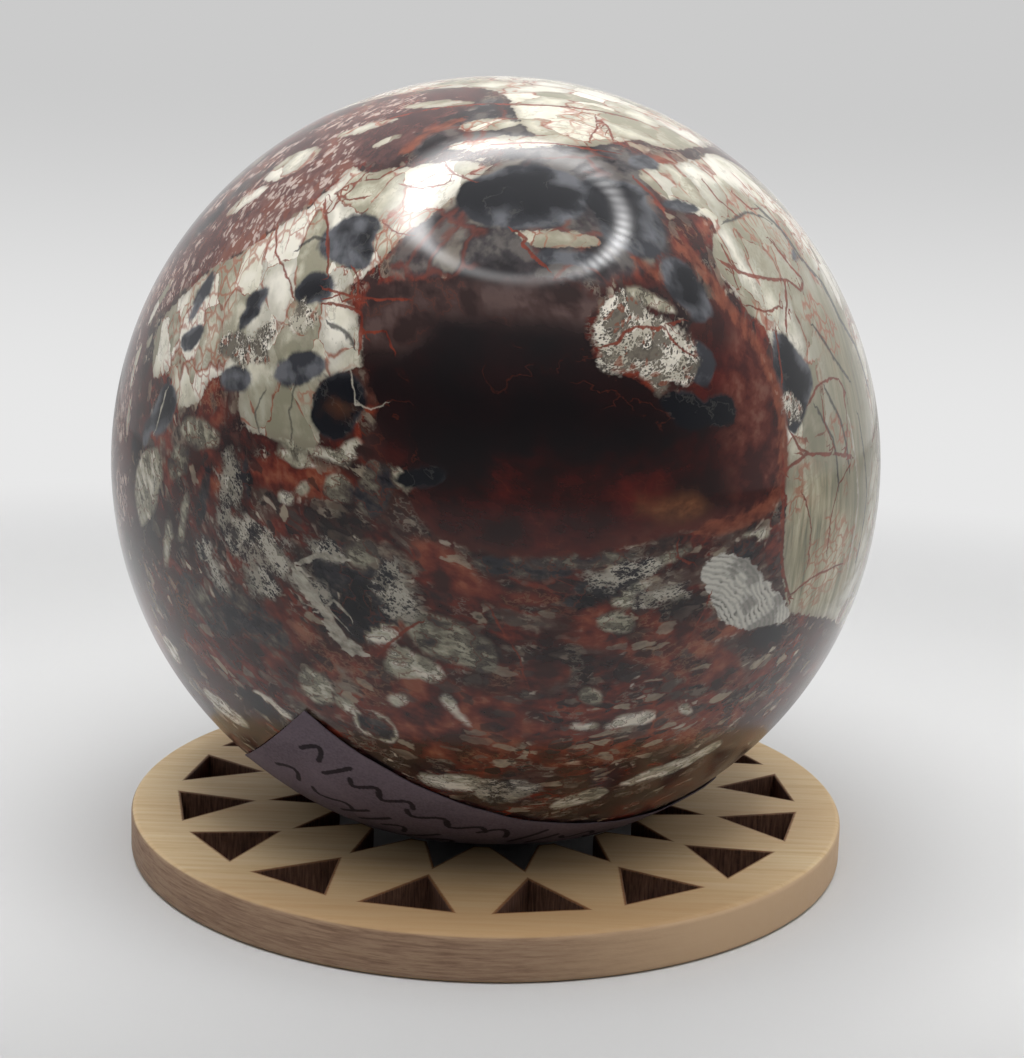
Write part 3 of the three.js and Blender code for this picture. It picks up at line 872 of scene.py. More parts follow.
    # Cream and sage blocks, parted by rust-red veins and grey films, or layered in places.
    cream = g.ramp(shifted(shifted(block[1], 0.5), 0.9, patchy), (0.05, "#918d79"),
                   (0.3, "#bcb6a2"), (0.55, "#d8d3c1"), (0.85, "#e6e1d4"))
    shade = g.times(g.ease(shifted(block_gap, 0.7), 1.0, 0.1), g.ease(block[2], 0.35, 0.65))
    cream = over(shade, "#7d7969", cream, 0.5)
    streaks = g.noise(g.attribute("upright", "Vector"), 1.1, 3.0, 0.6)
    layers = g.ramp(g.blend(streaks, 0.8, broad, 0.2), (0.34, "#666452"), (0.44, "#8c876d"),
                    (0.54, "#aea58a"), (0.68, "#cbc1a8"))
    layered = g.attribute("layered")
    cream = g.mix(layered, cream, layers)
    cream = over(g.ease(reach("sage"), 1.6, -2.4), "#837f6a", cream, 0.66)
    cream = over(g.ease(shifted(g.attribute("cream"), 1.5), -1.2, 0.2), "#7a6e60", cream, 0.5)
    cream = over(g.times(thread, g.ease(chip[0], 0.5, 0.6)), "#8a8371", cream, 0.4)
    chip_joint = g.times(g.ease(chip_gap, 0.13, 0.03), g.ease(broad, 0.54, 0.62))
    cream = over(chip_joint, "#9a4a2f", cream, 0.6)
    rusty = g.ease(shifted(block_gap, 0.35), g.ease(cloud, 0.44, 0.68, 0.02, 0.24), 0.0)
    rusty = g.times(rusty, g.ease(layered, 0.0, 0.6, 1.0, 0.15))
    cream = over(rusty, g.ramp(fine, (0.34, "#6a2a1c"), (0.6, "#a04a2e")), cream, 0.75)
    colour = over(region("cream", crisp, 0.16), cream, colour)

    # The dark field, sooty above and glowing red towards its edge.
    dark = g.ramp(shifted(broad, 0.4), (0.34, "#210b0b"), (0.5, "#3a0f0d"), (0.68, "#541712"))
    dark = over(g.ease(reach("dark"), -2.6, 0.6), "#51221a", dark, 0.7)
    ember = g.ramp(shifted(cloud, 0.6), (0.34, "#3a1613"), (0.5, "#53221b"), (0.62, "#653328"),
                   (0.76, "#784d40"))
    dark = over(g.ease(reach("ember"), 1.8, -2.4), ember, dark, 0.9)
    dark = over(g.ease(reach("soot", g.times(ragged, 1.3)), 3.0, -2.0), "#131113", dark, 0.9)
    veil = g.ramp(shifted(cloud, 0.4), (0.36, "#30211f"), (0.52, "#463330"), (0.66, "#5a4743"))
    dark = over(g.ease(reach("brown"), 1.6, -2.4), veil, dark, 0.85)
    dark = over(g.times(film, g.ease(broad, 0.46, 0.58)), "#70331f", dark, 0.22)
    colour = over(region("dark", crisp, 0.4), dark, colour)

    # Slate lenses, soft at the edge and near black within.
    core = g.ease(reach("core", g.times(patchy, 3.0)), 1.2, -1.2)
    slate = g.ramp(shifted(cloud, 0.4), (0.4, "#36373c"), (0.62, "#626368"))
    slate = g.mix(core, slate, "#15161b")
    slate = over(g.times(film, g.ease(broad, 0.42, 0.5)), "#5c5a55", slate, 0.25)
    colour = over(region("slate", eroded, 0.32), slate, colour)

    # Tan stains.
    tan = g.ramp(fine, (0.3, "#52301f"), (0.55, "#7a4c30"), (0.75, "#946a45"))
    colour = over(g.ease(reach("tan"), 1.4, -2.0), tan, colour, 0.9)

    # Shattered white lace, and ash-grey grit of the same flakes.
    flake = g.add(g.math("ABSOLUTE", g.minus(grit, 0.5)), g.times(uneven, 0.45))
    flake = shifted(flake, -0.3, patchy)
    white = g.ease(flake, 0.09, 0.02)
    lace = g.mix(white, g.ramp(fine, (0.36, "#3a3735"), (0.6, "#6d665b")),
                 g.ramp(chip[0], (0.0, "#b0a999"), (1.0, "#e6dfd2")))
    rusted = g.times(g.ease(crumb[1], 0.7, 0.76), g.ease(crumb_gap, 0.04, 0.12))
    lace = over(rusted, "#7c4330", lace, 0.7)
    colour = over(region("lace", ragged, 0.4), lace, colour)
    ash = g.mix(g.ease(flake, 0.1, 0.02), g.ramp(cloud, (0.4, "#25252a"), (0.6, "#4c4945")),
                g.ramp(chip[0], (0.0, "#7d776b"), (1.0, "#bdb6a8")))
    colour = over(region("grit", ragged, 0.6), ash, colour, 0.92)

    # The fan of fine layers.
    wave = g.add(g.times(g.attribute("fan_layer"), 9.0), g.blend(cloud, 11.0, uneven, 9.0))
    layer = shifted(g.math("SINE", wave), 3.0)
    fan = g.mix(g.ease(layer, -0.9, 0.9), "#c6c2b8", "#aba89f")
    gully = g.times(g.ease(layer, 0.4, 1.2), g.ease(shifted(broad, 0.6), 0.44, 0.6))
    fan = over(gully, "#4a4843", fan, 0.7)
    fan = over(g.ease(shifted(cloud, 0.5), 0.52, 0.36), "#5b5955", fan, 0.6)
    colour = over(region("fan", crisp, 0.16), fan, colour)

    # Drawn veins.
    colour = over(vein("dark_vein", 0.2), "#232227", colour, 0.8)
    pale = g.ramp(fine, (0.3, "#6f6a5f"), (0.6, "#c4bdad"))
    colour = over(vein("pale_vein", 0.12), pale, colour, 0.8)
    brick = g.ramp(fine, (0.3, "#57251a"), (0.6, "#894a33"))
    colour = over(vein("arc_vein", 0.5), brick, colour, 0.75)
    red = g.ramp(fine, (0.3, "#4d1811"), (0.65, "#823826"))
    colour = over(vein("red_vein"), red, colour, 0.9)
    g.feed(shader.inputs["Base Color"], colour)

    # The polish.
    height = g.split(place_in_mm(g))[2]
    dulled = g.ease(height, DULL_ABOVE, DULL_BELOW, 0.0, DULLING)
    g.feed(shader.inputs["Roughness"], g.add(g.ease(cloud, 0.3, 0.75, *POLISH), dulled))
    shader.inputs["IOR"].default_value = STONE_IOR
    pits = g.times(white, region("lace", ragged, 0.16))
    g.feed(shader.inputs["Normal"], g.bump(pits, PIT_STRENGTH, PIT_DEPTH))
    return material


# ---- the ball -------------------------------------------------------------------------------

BALL_GRID = 128     # squares along each edge of the six-sided net that the ball is blown up from


def ball_net(count):
    """Unit vectors and four-sided faces of an even net over a sphere."""
    steps = np.tan(np.linspace(-math.pi / 4, math.pi / 4, count + 1))
    across, up = np.meshgrid(steps, steps, indexing="ij")
    ahead = np.ones_like(across)
    rows = np.arange(count)
    first = (rows[:, None] * (count + 1) + rows[None]).ravel()
    squares = np.stack([first, first + count + 1, first + count + 2, first + 1], 1)
    points, faces = [], []
    for axis in range(3):
        for sign in (1, -1):
            grid = np.stack([sign * ahead, across, sign * up], -1).reshape(-1, 3)
            points.append(np.roll(grid, axis, 1))
            faces.append(squares + (len(points) - 1) * (count + 1) ** 2)
    points = np.concatenate(points)
    points /= np.linalg.norm(points, axis=1, keepdims=True)
    _, kept, back = np.unique(np.round(points, 6), axis=0, return_index=True, return_inverse=True)
    return points[kept], back.reshape(-1)[np.concatenate(faces)]


def make_ball():
    points, faces = ball_net(BALL_GRID)
    first, second, third = (points[faces[:, k]] for k in range(3))
    outward = np.einsum("ij,ij->i", np.cross(second - first, third - first), first)
    faces[outward < 0] = faces[outward < 0][:, ::-1]
    mesh = bpy.data.meshes.new("polished_ball")
    mesh.from_pydata((points * BALL_RADIUS + np.array(BALL_CENTRE)).tolist(), [], faces.tolist())
    mesh.shade_smooth()
    surface = Surface(points)
    for name, shapes in REGIONS.items():
        put_attribute(mesh, name, surface.union(shapes))
    piece, tone = piece_fields(surface)
    put_attribute(mesh, "piece", piece)
    put_attribute(mesh, "tone", tone)
    for name, (size, octaves) in CLOUDS.items():
        put_attribute(mesh, name, [cloudiness(p, size, octaves) for p in points * RADIUS_MM])
    root, upright = strata(surface.points)
    put_attribute(mesh, "fan_layer", root)
    put_attribute(mesh, "upright", upright)
    put_attribute(mesh, "flow", flowing(surface.points))
    put_attribute(mesh, "layered", smooth(*LAYERED_EDGE, surface.union(LAYERED)))
    for name, (share, lines) in VEINS.items():
        put_attribute(mesh, name, surface.veins([(width * share, line) for width, line in lines]))
    mesh.materials.append(stone_material())
    ball = new_object("polished_ball", mesh)
    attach(ball, "root")
    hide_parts("stone_sphere")


# ---- the stand ------------------------------------------------------------------------------
# Plan sizes are in millimetres, as on the solid that this piece stands for.

CUTOUT_COUNT = 17
CUTOUT_OUTER_RADIUS = 41.6
CUTOUT_TIP_RADIUS = 32.4
CUTOUT_BASE_WIDTH = 10.4
NOTCH_TIP_RADIUS = 29.4
SEAT_RADIUS = 22.0
SPOKE_END_WIDTH = 2.2
RIM_ROUNDING = 0.7
EDGE_EASE = 0.12        # the tiny chamfer left on a cut edge
SCORCH_WIDTH = 0.55     # how far the burnt line runs onto the faces
LINE_SCORCH = 1.0       # how burnt the wood is beside a cut, and on its wall above and below
WALL_SCORCH = (1.25, 1.4)
RIM_SEGMENTS = 272
GRAIN_STRENGTH = 0.25
GRAIN_DEPTH = 0.00006
PITCH = 2 * math.pi / CUTOUT_COUNT
FRONT = -math.pi / 2


def on_plan(radius, angle):
    return np.array([radius * math.cos(angle), radius * math.sin(angle)])


def cutout_outlines():
    """The triangles and the notched middle hole, each anticlockwise."""
    spread = math.asin(CUTOUT_BASE_WIDTH / 2 / CUTOUT_OUTER_RADIUS)
    half_end = math.asin(SPOKE_END_WIDTH / 2 / SEAT_RADIUS)
    outlines, middle = [], []
    for index in range(CUTOUT_COUNT):
        angle = FRONT + (index + 0.5) * PITCH
        outlines.append([on_plan(CUTOUT_TIP_RADIUS, angle),
                         on_plan(CUTOUT_OUTER_RADIUS, angle - spread),
                         on_plan(CUTOUT_OUTER_RADIUS, angle + spread)])
        spoke = angle + PITCH / 2
        middle += [on_plan(NOTCH_TIP_RADIUS, angle), on_plan(SEAT_RADIUS, spoke - half_end),
                   on_plan(SEAT_RADIUS, spoke + half_end)]
    return outlines + [middle]


def widened(outline, amount):
    """An anticlockwise outline moved outwards by an amount, its corners kept sharp."""
    outline = np.array(outline)
    ahead = np.roll(outline, -1, 0) - outline
    ahead /= np.linalg.norm(ahead, axis=1, keepdims=True)
    normal = np.stack([ahead[:, 1], -ahead[:, 0]], 1)
    previous = np.roll(normal, 1, 0)
    turn = (normal * previous).sum(1, keepdims=True)
    return outline + (normal + previous) * amount / (1 + turn)


class Plate:
    """A flat plate built up from closed rings of points."""

    def __init__(self):
        self.points, self.faces, self.scorch = [], [], []

    def ring(self, outline, height, scorch):
        first = len(self.points)
        self.points += [(x, y, height) for x, y in outline]
        self.scorch += [scorch] * len(outline)
        return list(range(first, len(self.points)))

    def strip(self, lower, upper):
        ahead = [ring[1:] + ring[:1] for ring in (lower, upper)]
        self.faces += zip(lower, *ahead, upper)

    def stack(self, rings):
        """Joins rings one after another and gives the first and the last."""
        made = [self.ring(*ring) for ring in rings]
        for lower, upper in zip(made, made[1:]):
            self.strip(lower, upper)
        return made[0], made[-1]

    def fill(self, rings, upward):
        """A flat face bounded by the first ring, with the others as holes."""
        corners = [i for ring in rings for i in ring]
        loops = [[Vector(self.points[i]) for i in ring] for ring in rings]
        for a, b, c in tessellate_polygon(loops):
            p, q, r = (np.array(self.points[corners[i]][:2]) for i in (a, b, c))
            anticlockwise = (q[0] - p[0]) * (r[1] - p[1]) - (q[1] - p[1]) * (r[0] - p[0]) > 0
            turn = (a, b, c) if anticlockwise == upward else (a, c, b)
            self.faces.append(tuple(corners[i] for i in turn))


def stand_material():
    material, g, shader = new_material("Pale laser-cut wood")
    place = place_in_mm(g)
    right, back, _ = g.split(place)

    # The faces, with painted shade that darkens them towards the front.
    grain = grained(g, place, (0.05, 1.0, 0.6), 0.9, 4.0, 0.6)
    pores = grained(g, place, (0.12, 1.0, 1.0), 0.22, 2.0)
    broad = grained(g, place, (0.3, 1.0, 1.0), 14.0, 2.0)
    wood = g.ramp(grain, (0.28, "#cfb287"), (0.46, "#dac097"), (0.62, "#dfc8a1"),
                  (0.8, "#e4d0ac"))
    wood = g.mix(g.ease(broad, 0.35, 0.7, 0.0, 0.4), wood, "#cda77a")
    # Painted shade: the top turns darker and browner towards the front.
    wood = g.mix(g.ease(back, -20.0, -44.0, 0.0, 0.62), wood, "#9c7850")
    wood = g.mix(g.ease(pores, 0.64, 0.76, 0.0, 0.35), wood, "#a5825a")

    # The rim, with painted light that makes it lighter on the right.
    rim_grain = grained(g, place, (0.08, 0.08, 1.0), 0.35, 4.0, 0.65)
    side = g.ramp(rim_grain, (0.3, "#7b5f4c"), (0.48, "#947862"), (0.62, "#a1866d"),
                  (0.76, "#836753"))
    # Painted light: the rim's colour turns lighter towards the right.
    side = g.mix(g.ease(right, 0.0, 30.0), side, "#c2a483")
    wood = g.mix(g.ease(g.attribute("rim"), 0.3, 0.9), wood, side)

    # Burnt lines along the cuts, and charred walls.
    burn = g.add(g.attribute("scorch"), g.times(g.minus(pores, 0.5), 0.5))
    wood = g.mix(g.ease(burn, 0.25, 0.85, 0.0, 0.9), wood, "#7a4a26")
    streaks = grained(g, place, (1.0, 1.0, 0.12), 0.3)
    char = g.ramp(streaks, (0.35, "#4b342a"), (0.55, "#6c4d3e"), (0.75, "#86644f"))
    wood = g.mix(g.ease(burn, 0.92, 1.3), wood, char)
    g.feed(shader.inputs["Base Color"], wood)
    g.feed(shader.inputs["Roughness"], g.ease(grain, 0.3, 0.8, 0.72, 0.58))
    shader.inputs["Specular IOR Level"].default_value = 0.3
    g.feed(shader.inputs["Normal"], g.bump(g.add(grain, pores), GRAIN_STRENGTH, GRAIN_DEPTH))
    return material


def make_stand():
    plate = Plate()
    radius, top = STAND_RADIUS / MM, STAND_THICKNESS / MM
    angles = np.arange(RIM_SEGMENTS) * 2 * math.pi / RIM_SEGMENTS
    circle = np.stack([np.cos(angles), np.sin(angles)], 1)
    bends = np.linspace(-math.pi / 2, 0, 6)
    inner = radius - RIM_ROUNDING
    profile = [(inner + RIM_ROUNDING * math.cos(bend), RIM_ROUNDING * (1 + math.sin(bend)))
               for bend in bends]
    profile += [(r, top - z) for r, z in reversed(profile)]
    bottom_rim, top_rim = plate.stack([(circle * r, z, 0.0) for r, z in profile])
    bottom_rings, top_rings = [bottom_rim], [top_rim]
    for outline in cutout_outlines():
        rows = [(SCORCH_WIDTH, top, 0.0), (EDGE_EASE, top, LINE_SCORCH),
                (0.0, top - EDGE_EASE, WALL_SCORCH[0]), (0.0, EDGE_EASE, WALL_SCORCH[1]),
                (EDGE_EASE, 0.0, LINE_SCORCH), (SCORCH_WIDTH, 0.0, 0.0)]
        upper, lower = plate.stack([(widened(outline, out), z, burn) for out, z, burn in rows])
        top_rings.append(upper)
        bottom_rings.append(lower)
    plate.fill(top_rings, True)
    plate.fill(bottom_rings, False)
    points = np.array(plate.points)
    mesh = bpy.data.meshes.new("laser_cut_stand")
    mesh.from_pydata((points * MM).tolist(), [], plate.faces)
    reach = np.linalg.norm(points[:, :2], axis=1)
    put_attribute(mesh, "rim", smooth(radius - RIM_ROUNDING * 0.6, radius, reach))
    put_attribute(mesh, "scorch", np.array(plate.scorch))
    mesh.shade_smooth()
    mesh.set_sharp_from_angle(angle=math.radians(30))
    mesh.materials.append(stand_material())
    stand = new_object("laser_cut_stand", mesh)
    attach(stand, "root")
    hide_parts("wooden_stand")


# ---- the paper label ------------------------------------------------------------------------
# Its upper edge is the great circle around LABEL_POLE, and starts at LABEL_CORNER.

LABEL_WIDTH = 25.0
LABEL_LENGTH = 62.0
LABEL_CORNER = (-25.6, -27.2)
LABEL_POLE = (41.2, 37.2)
LABEL_LOWEST_ELEVATION = -61.5
LABEL_COLUMNS = 210
LABEL_ROWS = 90
PAPER_GAP = 0.14        # how far the underside stands off the stone
PAPER_THICKNESS = 0.12
CURL = 0.2              # how far an edge may lift, and how far in from it
CURL_REACH = 1.2
CURL_SWINGS = 9         # how quickly the lift changes along an edge
WRINKLE = 0.09
FIBRE_STRENGTH = 0.3
FIBRE_DEPTH = 0.00004

# Rows of pen strokes: how far below the upper edge, and where along it they start and end.
PEN_ROWS = ((5.6, 3.0, 44.0), (14.6, 3.0, 46.0))
PEN_SEED = 3
PEN_REACH = 3.0         # ink is told apart up to this distance


def label_reach(edge, pole):
    """How far below the upper edge the paper reaches, as an angle."""
    full = LABEL_WIDTH / RADIUS_MM
    floor = math.sin(math.radians(LABEL_LOWEST_ELEVATION))
    size = math.hypot(edge[2], pole[2])
    if size <= -floor:
        return full
    return min(full, math.acos(floor / size) - math.atan2(pole[2], edge[2]))


def pen_strokes(rng):
    """Two rows of slanted bars and shallow waves in the label's own millimetres (along, down)."""
    strokes = []
    for row, start, end in PEN_ROWS:
        along = start
        while along < end:
            kind, length = rng.integers(3), rng.uniform(3.6, 6.4)
            t = np.linspace(0, 1, 9)
            if kind == 0:
                stroke = np.stack([along + 1.4 * t, row + 3.0 - rng.uniform(4.6, 6.4) * t], 1)
                length = 2.4
            elif kind == 1:
                wave = 1.3 * np.sin(2 * np.pi * t) + rng.uniform(-1, 1)
                stroke = np.stack([along + length * t, row + wave], 1)
            else:
                bowl = 5.4 * (t - 0.5) ** 2 * 2 - 1.6
                stroke = np.stack([along + length * 0.6 * t, row + bowl], 1)
            strokes.append(stroke)
            along += length * 0.8 + rng.uniform(0.3, 0.9)
    return strokes


def ink_distance(flat, strokes):
    """Distance in millimetres to the nearest stroke."""
    distance = np.full(len(flat), PEN_REACH)
    for stroke in strokes:
        which = np.nonzero((np.abs(flat - stroke.mean(0)) < 6).all(1))[0]
        gap, _ = path_gap(flat[which], stroke[:-1], stroke[1:])
        distance[which] = np.minimum(distance[which], gap)
    return distance


def label_material():
    material, g, shader = new_material("Lilac paper")
    place = place_in_mm(g)
    fibre = grained(g, place, (1.0, 0.6, 1.0), 0.35, 4.0, 0.65)
    blotch = g.noise(place, 6.0, 3.0, 0.55)
    paper = g.ramp(g.blend(fibre, 0.5, blotch, 0.5), (0.3, "#564b53"), (0.5, "#675b64"),
                   (0.7, "#73666f"))
    ragged = g.add(g.attribute("ink"), g.times(g.minus(fibre, 0.5), 0.3))
    paper = g.mix(g.ease(ragged, 0.46, 0.24, 0.0, 0.97), paper, "#1e161d")
    g.feed(shader.inputs["Base Color"], paper)
    g.feed(shader.inputs["Roughness"], g.ease(fibre, 0.3, 0.7, 0.85, 0.7))
    shader.inputs["Specular IOR Level"].default_value = 0.25
    g.feed(shader.inputs["Normal"], g.bump(fibre, FIBRE_STRENGTH, FIBRE_DEPTH))
    return material


def sheet_faces(columns, rows):
    """Faces of a closed sheet, whose points run down each column, first below and then above."""

    def at(layer, column, row):
        return (layer * (columns + 1) + column) * (rows + 1) + row

    faces = []
    for column in range(columns):
        for row in range(rows):
            for layer, order in ((1, 1), (0, -1)):
                corners = [at(layer, column, row), at(layer, column, row + 1),
                           at(layer, column + 1, row + 1), at(layer, column + 1, row)]
                faces.append([corners[k * order] for k in range(4)])
        for row, first, second in ((0, 0, 1), (rows, 1, 0)):
            faces.append([at(first, column, row), at(second, column, row),
                          at(second, column + 1, row), at(first, column + 1, row)])
    for row in range(rows):
        for column, first, second in ((0, 1, 0), (columns, 0, 1)):
            faces.append([at(first, column, row), at(second, column, row),
                          at(second, column, row + 1), at(first, column, row + 1)])
    return faces


def label_places():
    """Places in millimetres on the paper's two sides, and (along, down) on the flat paper."""
    pole, corner = unit(*LABEL_POLE), unit(*LABEL_CORNER)
    start = corner - pole * (corner @ pole)
    start /= np.linalg.norm(start)
    ahead = np.cross(pole, start)
    lower, upper, flat = [], [], []
    for column in range(LABEL_COLUMNS + 1):
        along = LABEL_LENGTH * column / LABEL_COLUMNS
        turn = along / RADIUS_MM
        edge = start * math.cos(turn) + ahead * math.sin(turn)
        reach = label_reach(edge, pole)
        for row in range(LABEL_ROWS + 1):
            drop = reach * row / LABEL_ROWS
            place = edge * math.cos(drop) - pole * math.sin(drop)
            down = drop * RADIUS_MM
            margin = min(along, down, LABEL_LENGTH - along)
            swing = 0.5 + noise.noise(Vector(place) * CURL_SWINGS)
            lift = max(CURL * math.exp(-margin / CURL_REACH) * swing, 0)
            wrinkle = WRINKLE * noise.noise(Vector((along * 0.5, down * 0.12, 1))) ** 2
            height = RADIUS_MM + PAPER_GAP + lift + wrinkle
            lower.append(place * height)
            upper.append(place * (height + PAPER_THICKNESS))
            flat.append((along, down))
    return lower, upper, np.array(flat)


def make_label():
    lower, upper, flat = label_places()
    mesh = bpy.data.meshes.new("label")
    points = np.array(lower + upper) * MM + np.array(BALL_CENTRE)
    mesh.from_pydata(points.tolist(), [], sheet_faces(LABEL_COLUMNS, LABEL_ROWS))
    ink = ink_distance(flat, pen_strokes(np.random.default_rng(PEN_SEED)))
    put_attribute(mesh, "ink", np.concatenate([np.full(len(lower), PEN_REACH), ink]))
    mesh.shade_smooth()
    mesh.set_sharp_from_angle(angle=math.radians(50))
    mesh.materials.append(label_material())
    label = new_object("label", mesh)
    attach(label, "root")
    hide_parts("paper_label")


# ---- the floor and the backdrop -------------------------------------------------------------

FLOOR_RADIUS = 0.34      # where the backdrop's sweep rises from the floor
FLOOR_REACH = 1.2        # the floor runs on beyond it, so that the ball mirrors no near edge
FLOOR_RINGS = (0.0005, 0.1, 0.2, FLOOR_RADIUS, FLOOR_REACH)
FLOOR_PAPER = "#cdcdcd"
# the floor's painted shade colour at the front
FLOOR_PAINTED_SHADE = "#a4a4a4"
PAINTED_SHADE_FADE = (-0.03, -0.1)      # painted shade darkens the floor towards the front between these places
SWEEP_RADIUS = 0.30
SWEEP_HEIGHT = 0.60
BACKDROP_LOW = "#e8e8e8"
BACKDROP_HIGH = "#cbcbcb"
BACKDROP_FADE = (0.0, 0.16)     # the backdrop darkens upwards between these heights


def ring_mesh(name, profile, count=96):
    """A surface of revolution about Z from (radius, height) points."""
    turns = np.arange(count) * 2 * math.pi / count
    points = [(r * math.cos(t), r * math.sin(t), z) for r, z in profile for t in turns]
    faces = []
    for low in range(0, (len(profile) - 1) * count, count):
        for step in range(count):
            ahead = (step + 1) % count
            faces.append((low + step, low + ahead, low + count + ahead, low + count + step))
    mesh = bpy.data.meshes.new(name)
    mesh.from_pydata(points, [], faces)
    mesh.shade_smooth()
    return mesh


def make_floor():
    """The floor, which the camera sees fade into the glowing backdrop towards the sweep."""
    floor = new_object("floor", ring_mesh("floor", [(radius, 0) for radius in FLOOR_RINGS]))
    material, g, shader = new_material("Floor paper")
    place = g.node("ShaderNodeTexCoord", "Object")
    reach = g.vector("LENGTH", place, None)
    seen = g.node("ShaderNodeLightPath", "Is Camera Ray")
    away = g.times(g.ease(reach, FLOOR_RADIUS * 0.45, FLOOR_RADIUS), seen)
    # Painted shade: the floor's colour darkens towards the front.
    paper = g.mix(g.ease(g.split(place)[1], *PAINTED_SHADE_FADE), FLOOR_PAPER, FLOOR_PAINTED_SHADE)
    g.feed(shader.inputs["Base Color"], g.mix(away, paper, BLACK))
    shader.inputs["Roughness"].default_value = 0.9
    shader.inputs["Specular IOR Level"].default_value = 0.0
    g.feed(shader.inputs["Emission Color"], g.mix(away, BLACK, BACKDROP_LOW))
    shader.inputs["Emission Strength"].default_value = 1.0
    floor.data.materials.append(material)


def make_backdrop():
    """The sweep behind everything, which only the camera sees."""
    bend = [(FLOOR_RADIUS + SWEEP_RADIUS * math.sin(a), SWEEP_RADIUS * (1 - math.cos(a)))
            for a in np.linspace(0, math.pi / 2, 16)]
    profile = bend + [(FLOOR_RADIUS + SWEEP_RADIUS, SWEEP_HEIGHT)]
    sweep = new_object("sweep", ring_mesh("sweep", profile))
    material, g, shader = new_material("Backdrop paper")
    height = g.split(g.node("ShaderNodeTexCoord", "Object"))[2]
    make_glow(g, shader, g.mix(g.ease(height, *BACKDROP_FADE), BACKDROP_LOW, BACKDROP_HIGH))
    shader.inputs["Emission Strength"].default_value = 1.0
    sweep.data.materials.append(material)
    sweep.visible_diffuse = sweep.visible_glossy = sweep.visible_shadow = False


# ---- the lights -----------------------------------------------------------------------------

RING_CENTRE = (0.019, -0.078, 0.35)
RING_RADIUS = 0.128
RING_WIDTH = 0.07        # the glowing band reaches so far to each side of the ring's line
RING_NARROW_SHARE = 0.34 # and only so much of that at the front and on the right
RING_SLANT = -0.6        # how much nearer the front it starts to widen on the left
RING_STRIPES = 54        # single lamps, which are told apart on the right only
STRIPE_DEPTH = 0.6
RING_GLOW = 18.0         # at the ring's two sides, and so much of it at the front and at the back
RING_FRONT_SHARE = 0.26
RING_BACK_SHARE = 0.65
RING_BACK_RIGHT_SHARE = RING_BACK_SHARE * 0.4
RING_LEFT_SHARE = 0.9

OVERHEAD_PLACE = (0.03, -0.2, 0.6)
OVERHEAD_SIZE = 0.5
OVERHEAD_POWER = 2.15

# The room's light: how bright it is at least, and what is added from behind, from above and from
# low in front. It is scaled from the left to the right.
ROOM_LEAST = 0.04
ROOM_BEHIND = 0.62
ROOM_ABOVE = 0.3
ROOM_LOW_FRONT = 0.16
ROOM_LEFT_SHARE = 0.84
ROOM_RIGHT_SHARE = 1.2


def make_ring_lamp():
    """A ring of small lamps over the ball, which looks down and which the camera doesn't see."""
    edges = [(RING_RADIUS + RING_WIDTH, 0), (RING_RADIUS - RING_WIDTH, 0)]
    ring = new_object("ring_lamp", ring_mesh("ring_lamp", edges))
    ring.location = RING_CENTRE
    material, g, shader = new_material("Ring of lamps")
    place = g.node("ShaderNodeTexCoord", "Object")
    x, y, _ = g.split(place)

    # The band, brightest along its middle.
    off_line = g.math("ABSOLUTE", g.minus(g.vector("LENGTH", place, None), RING_RADIUS))
    half = g.ease(g.add(y, g.times(x, RING_SLANT)), 0.0, RING_RADIUS,
                  RING_WIDTH * RING_NARROW_SHARE, RING_WIDTH)
    core = g.ease(g.math("DIVIDE", off_line, half), 1.0, 0.0)

    # The single lamps along it.
    wave = g.math("SINE", g.times(g.math("ARCTAN2", y, x), RING_STRIPES))
    stripe = g.ease(wave, -0.8, 0.8, -STRIPE_DEPTH, STRIPE_DEPTH)
    stripe = g.add(1.0, g.times(stripe, g.ease(x, 0.0, RING_RADIUS * 0.8)))

    # How bright each stretch of it is.
    back = g.ease(x, -RING_RADIUS * 0.5, RING_RADIUS * 0.7, RING_BACK_SHARE,
                  RING_BACK_RIGHT_SHARE)
    level = g.times(g.ease(y, -RING_RADIUS, 0.0, RING_FRONT_SHARE, 1.0),
                    g.ease(y, -RING_RADIUS * 0.1, RING_RADIUS * 0.8, 1.0, back),
                    g.ease(x, -RING_RADIUS, RING_RADIUS * 0.5, RING_LEFT_SHARE, 1.0))
    make_glow(g, shader, g.grey(g.times(core, core, stripe, level)))
    g.feed(shader.inputs["Alpha"], g.ease(core, 0.0, 0.3))
    shader.inputs["Emission Strength"].default_value = RING_GLOW
    ring.data.materials.append(material)
    ring.visible_camera = ring.visible_shadow = False


def make_overhead_lamp():
    """A large soft lamp that looks at the ball and isn't mirrored in it."""
    data = bpy.data.lights.new("overhead", "AREA")
    data.shape, data.size, data.energy = "DISK", OVERHEAD_SIZE, OVERHEAD_POWER
    lamp = new_object("overhead", data)
    lamp.location = OVERHEAD_PLACE
    away = Vector(OVERHEAD_PLACE) - BALL_CENTRE
    lamp.rotation_euler = away.to_track_quat("Z", "Y").to_euler()
    lamp.visible_glossy = False


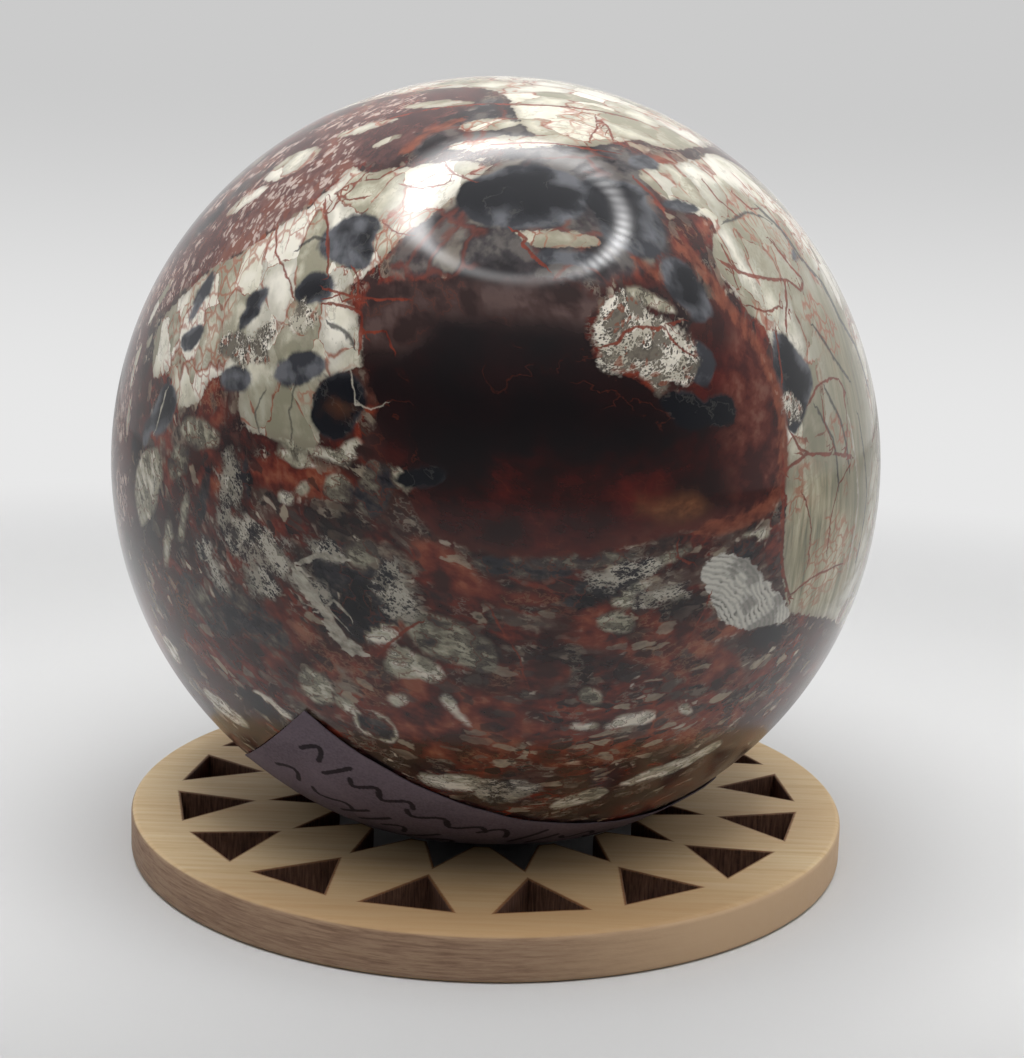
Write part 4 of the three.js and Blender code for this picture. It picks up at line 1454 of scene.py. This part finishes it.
def make_room_light():
    """Light from all round: most from behind the object, some from above and low in front."""
    world = bpy.data.worlds.new("Studio")
    world.use_nodes = True
    g = Graph(world.node_tree)
    background = next(n for n in world.node_tree.nodes if n.type == "BACKGROUND")
    x, y, z = g.split(g.node("ShaderNodeTexCoord", "Generated"))
    behind = g.ease(y, -0.75, 0.45)
    low_front = g.times(g.ease(z, 0.5, -0.1, 0.0, ROOM_LOW_FRONT), g.minus(1.0, behind))
    level = g.add(ROOM_LEAST, g.times(behind, ROOM_BEHIND))
    level = g.add(level, g.times(g.ease(z, 0.3, 0.95), ROOM_ABOVE))
    level = g.add(level, low_front)
    level = g.times(level, g.ease(x, -1.0, 1.0, ROOM_LEFT_SHARE, ROOM_RIGHT_SHARE))
    g.feed(background.inputs["Color"], g.grey(level))
    background.inputs["Strength"].default_value = 1.0
    bpy.context.scene.world = world


# ---- the camera -----------------------------------------------------------------------------

CAMERA_DISTANCE = 4.1642     # in ball radii, from a point beside the ball's centre
CAMERA_SIDE = 0.1255         # the point's offset to the right and upwards, in ball radii
CAMERA_RISE = -0.0575
CAMERA_TILT = math.radians(8.358)
CAMERA_ROLL = math.radians(1.968)
SENSOR_HEIGHT = 24.0
LENS = 35.27
SHIFT_X = -0.0317
SHIFT_Y = -0.0431


def make_camera():
    ahead = Vector((0, math.cos(CAMERA_TILT), -math.sin(CAMERA_TILT)))
    level_right = Vector((1, 0, 0))
    level_up = level_right.cross(ahead)
    right = level_right * math.cos(CAMERA_ROLL) + level_up * math.sin(CAMERA_ROLL)
    up = level_up * math.cos(CAMERA_ROLL) - level_right * math.sin(CAMERA_ROLL)
    offset = right * CAMERA_SIDE + up * CAMERA_RISE - ahead * CAMERA_DISTANCE
    data = bpy.data.cameras.new("camera")
    data.sensor_fit, data.sensor_height, data.lens = "VERTICAL", SENSOR_HEIGHT, LENS
    data.shift_x, data.shift_y = SHIFT_X, SHIFT_Y
    data.clip_start = 0.01
    camera = new_object("camera", data)
    turn = Matrix((right, up, -ahead)).transposed().to_4x4()
    camera.matrix_world = Matrix.Translation(BALL_CENTRE + offset * BALL_RADIUS) @ turn
    bpy.context.scene.camera = camera


make_camera()
make_floor()
make_backdrop()
make_ring_lamp()
make_overhead_lamp()
make_room_light()
make_ball()
make_stand()
make_label()
bpy.context.scene.view_settings.view_transform = "Standard"
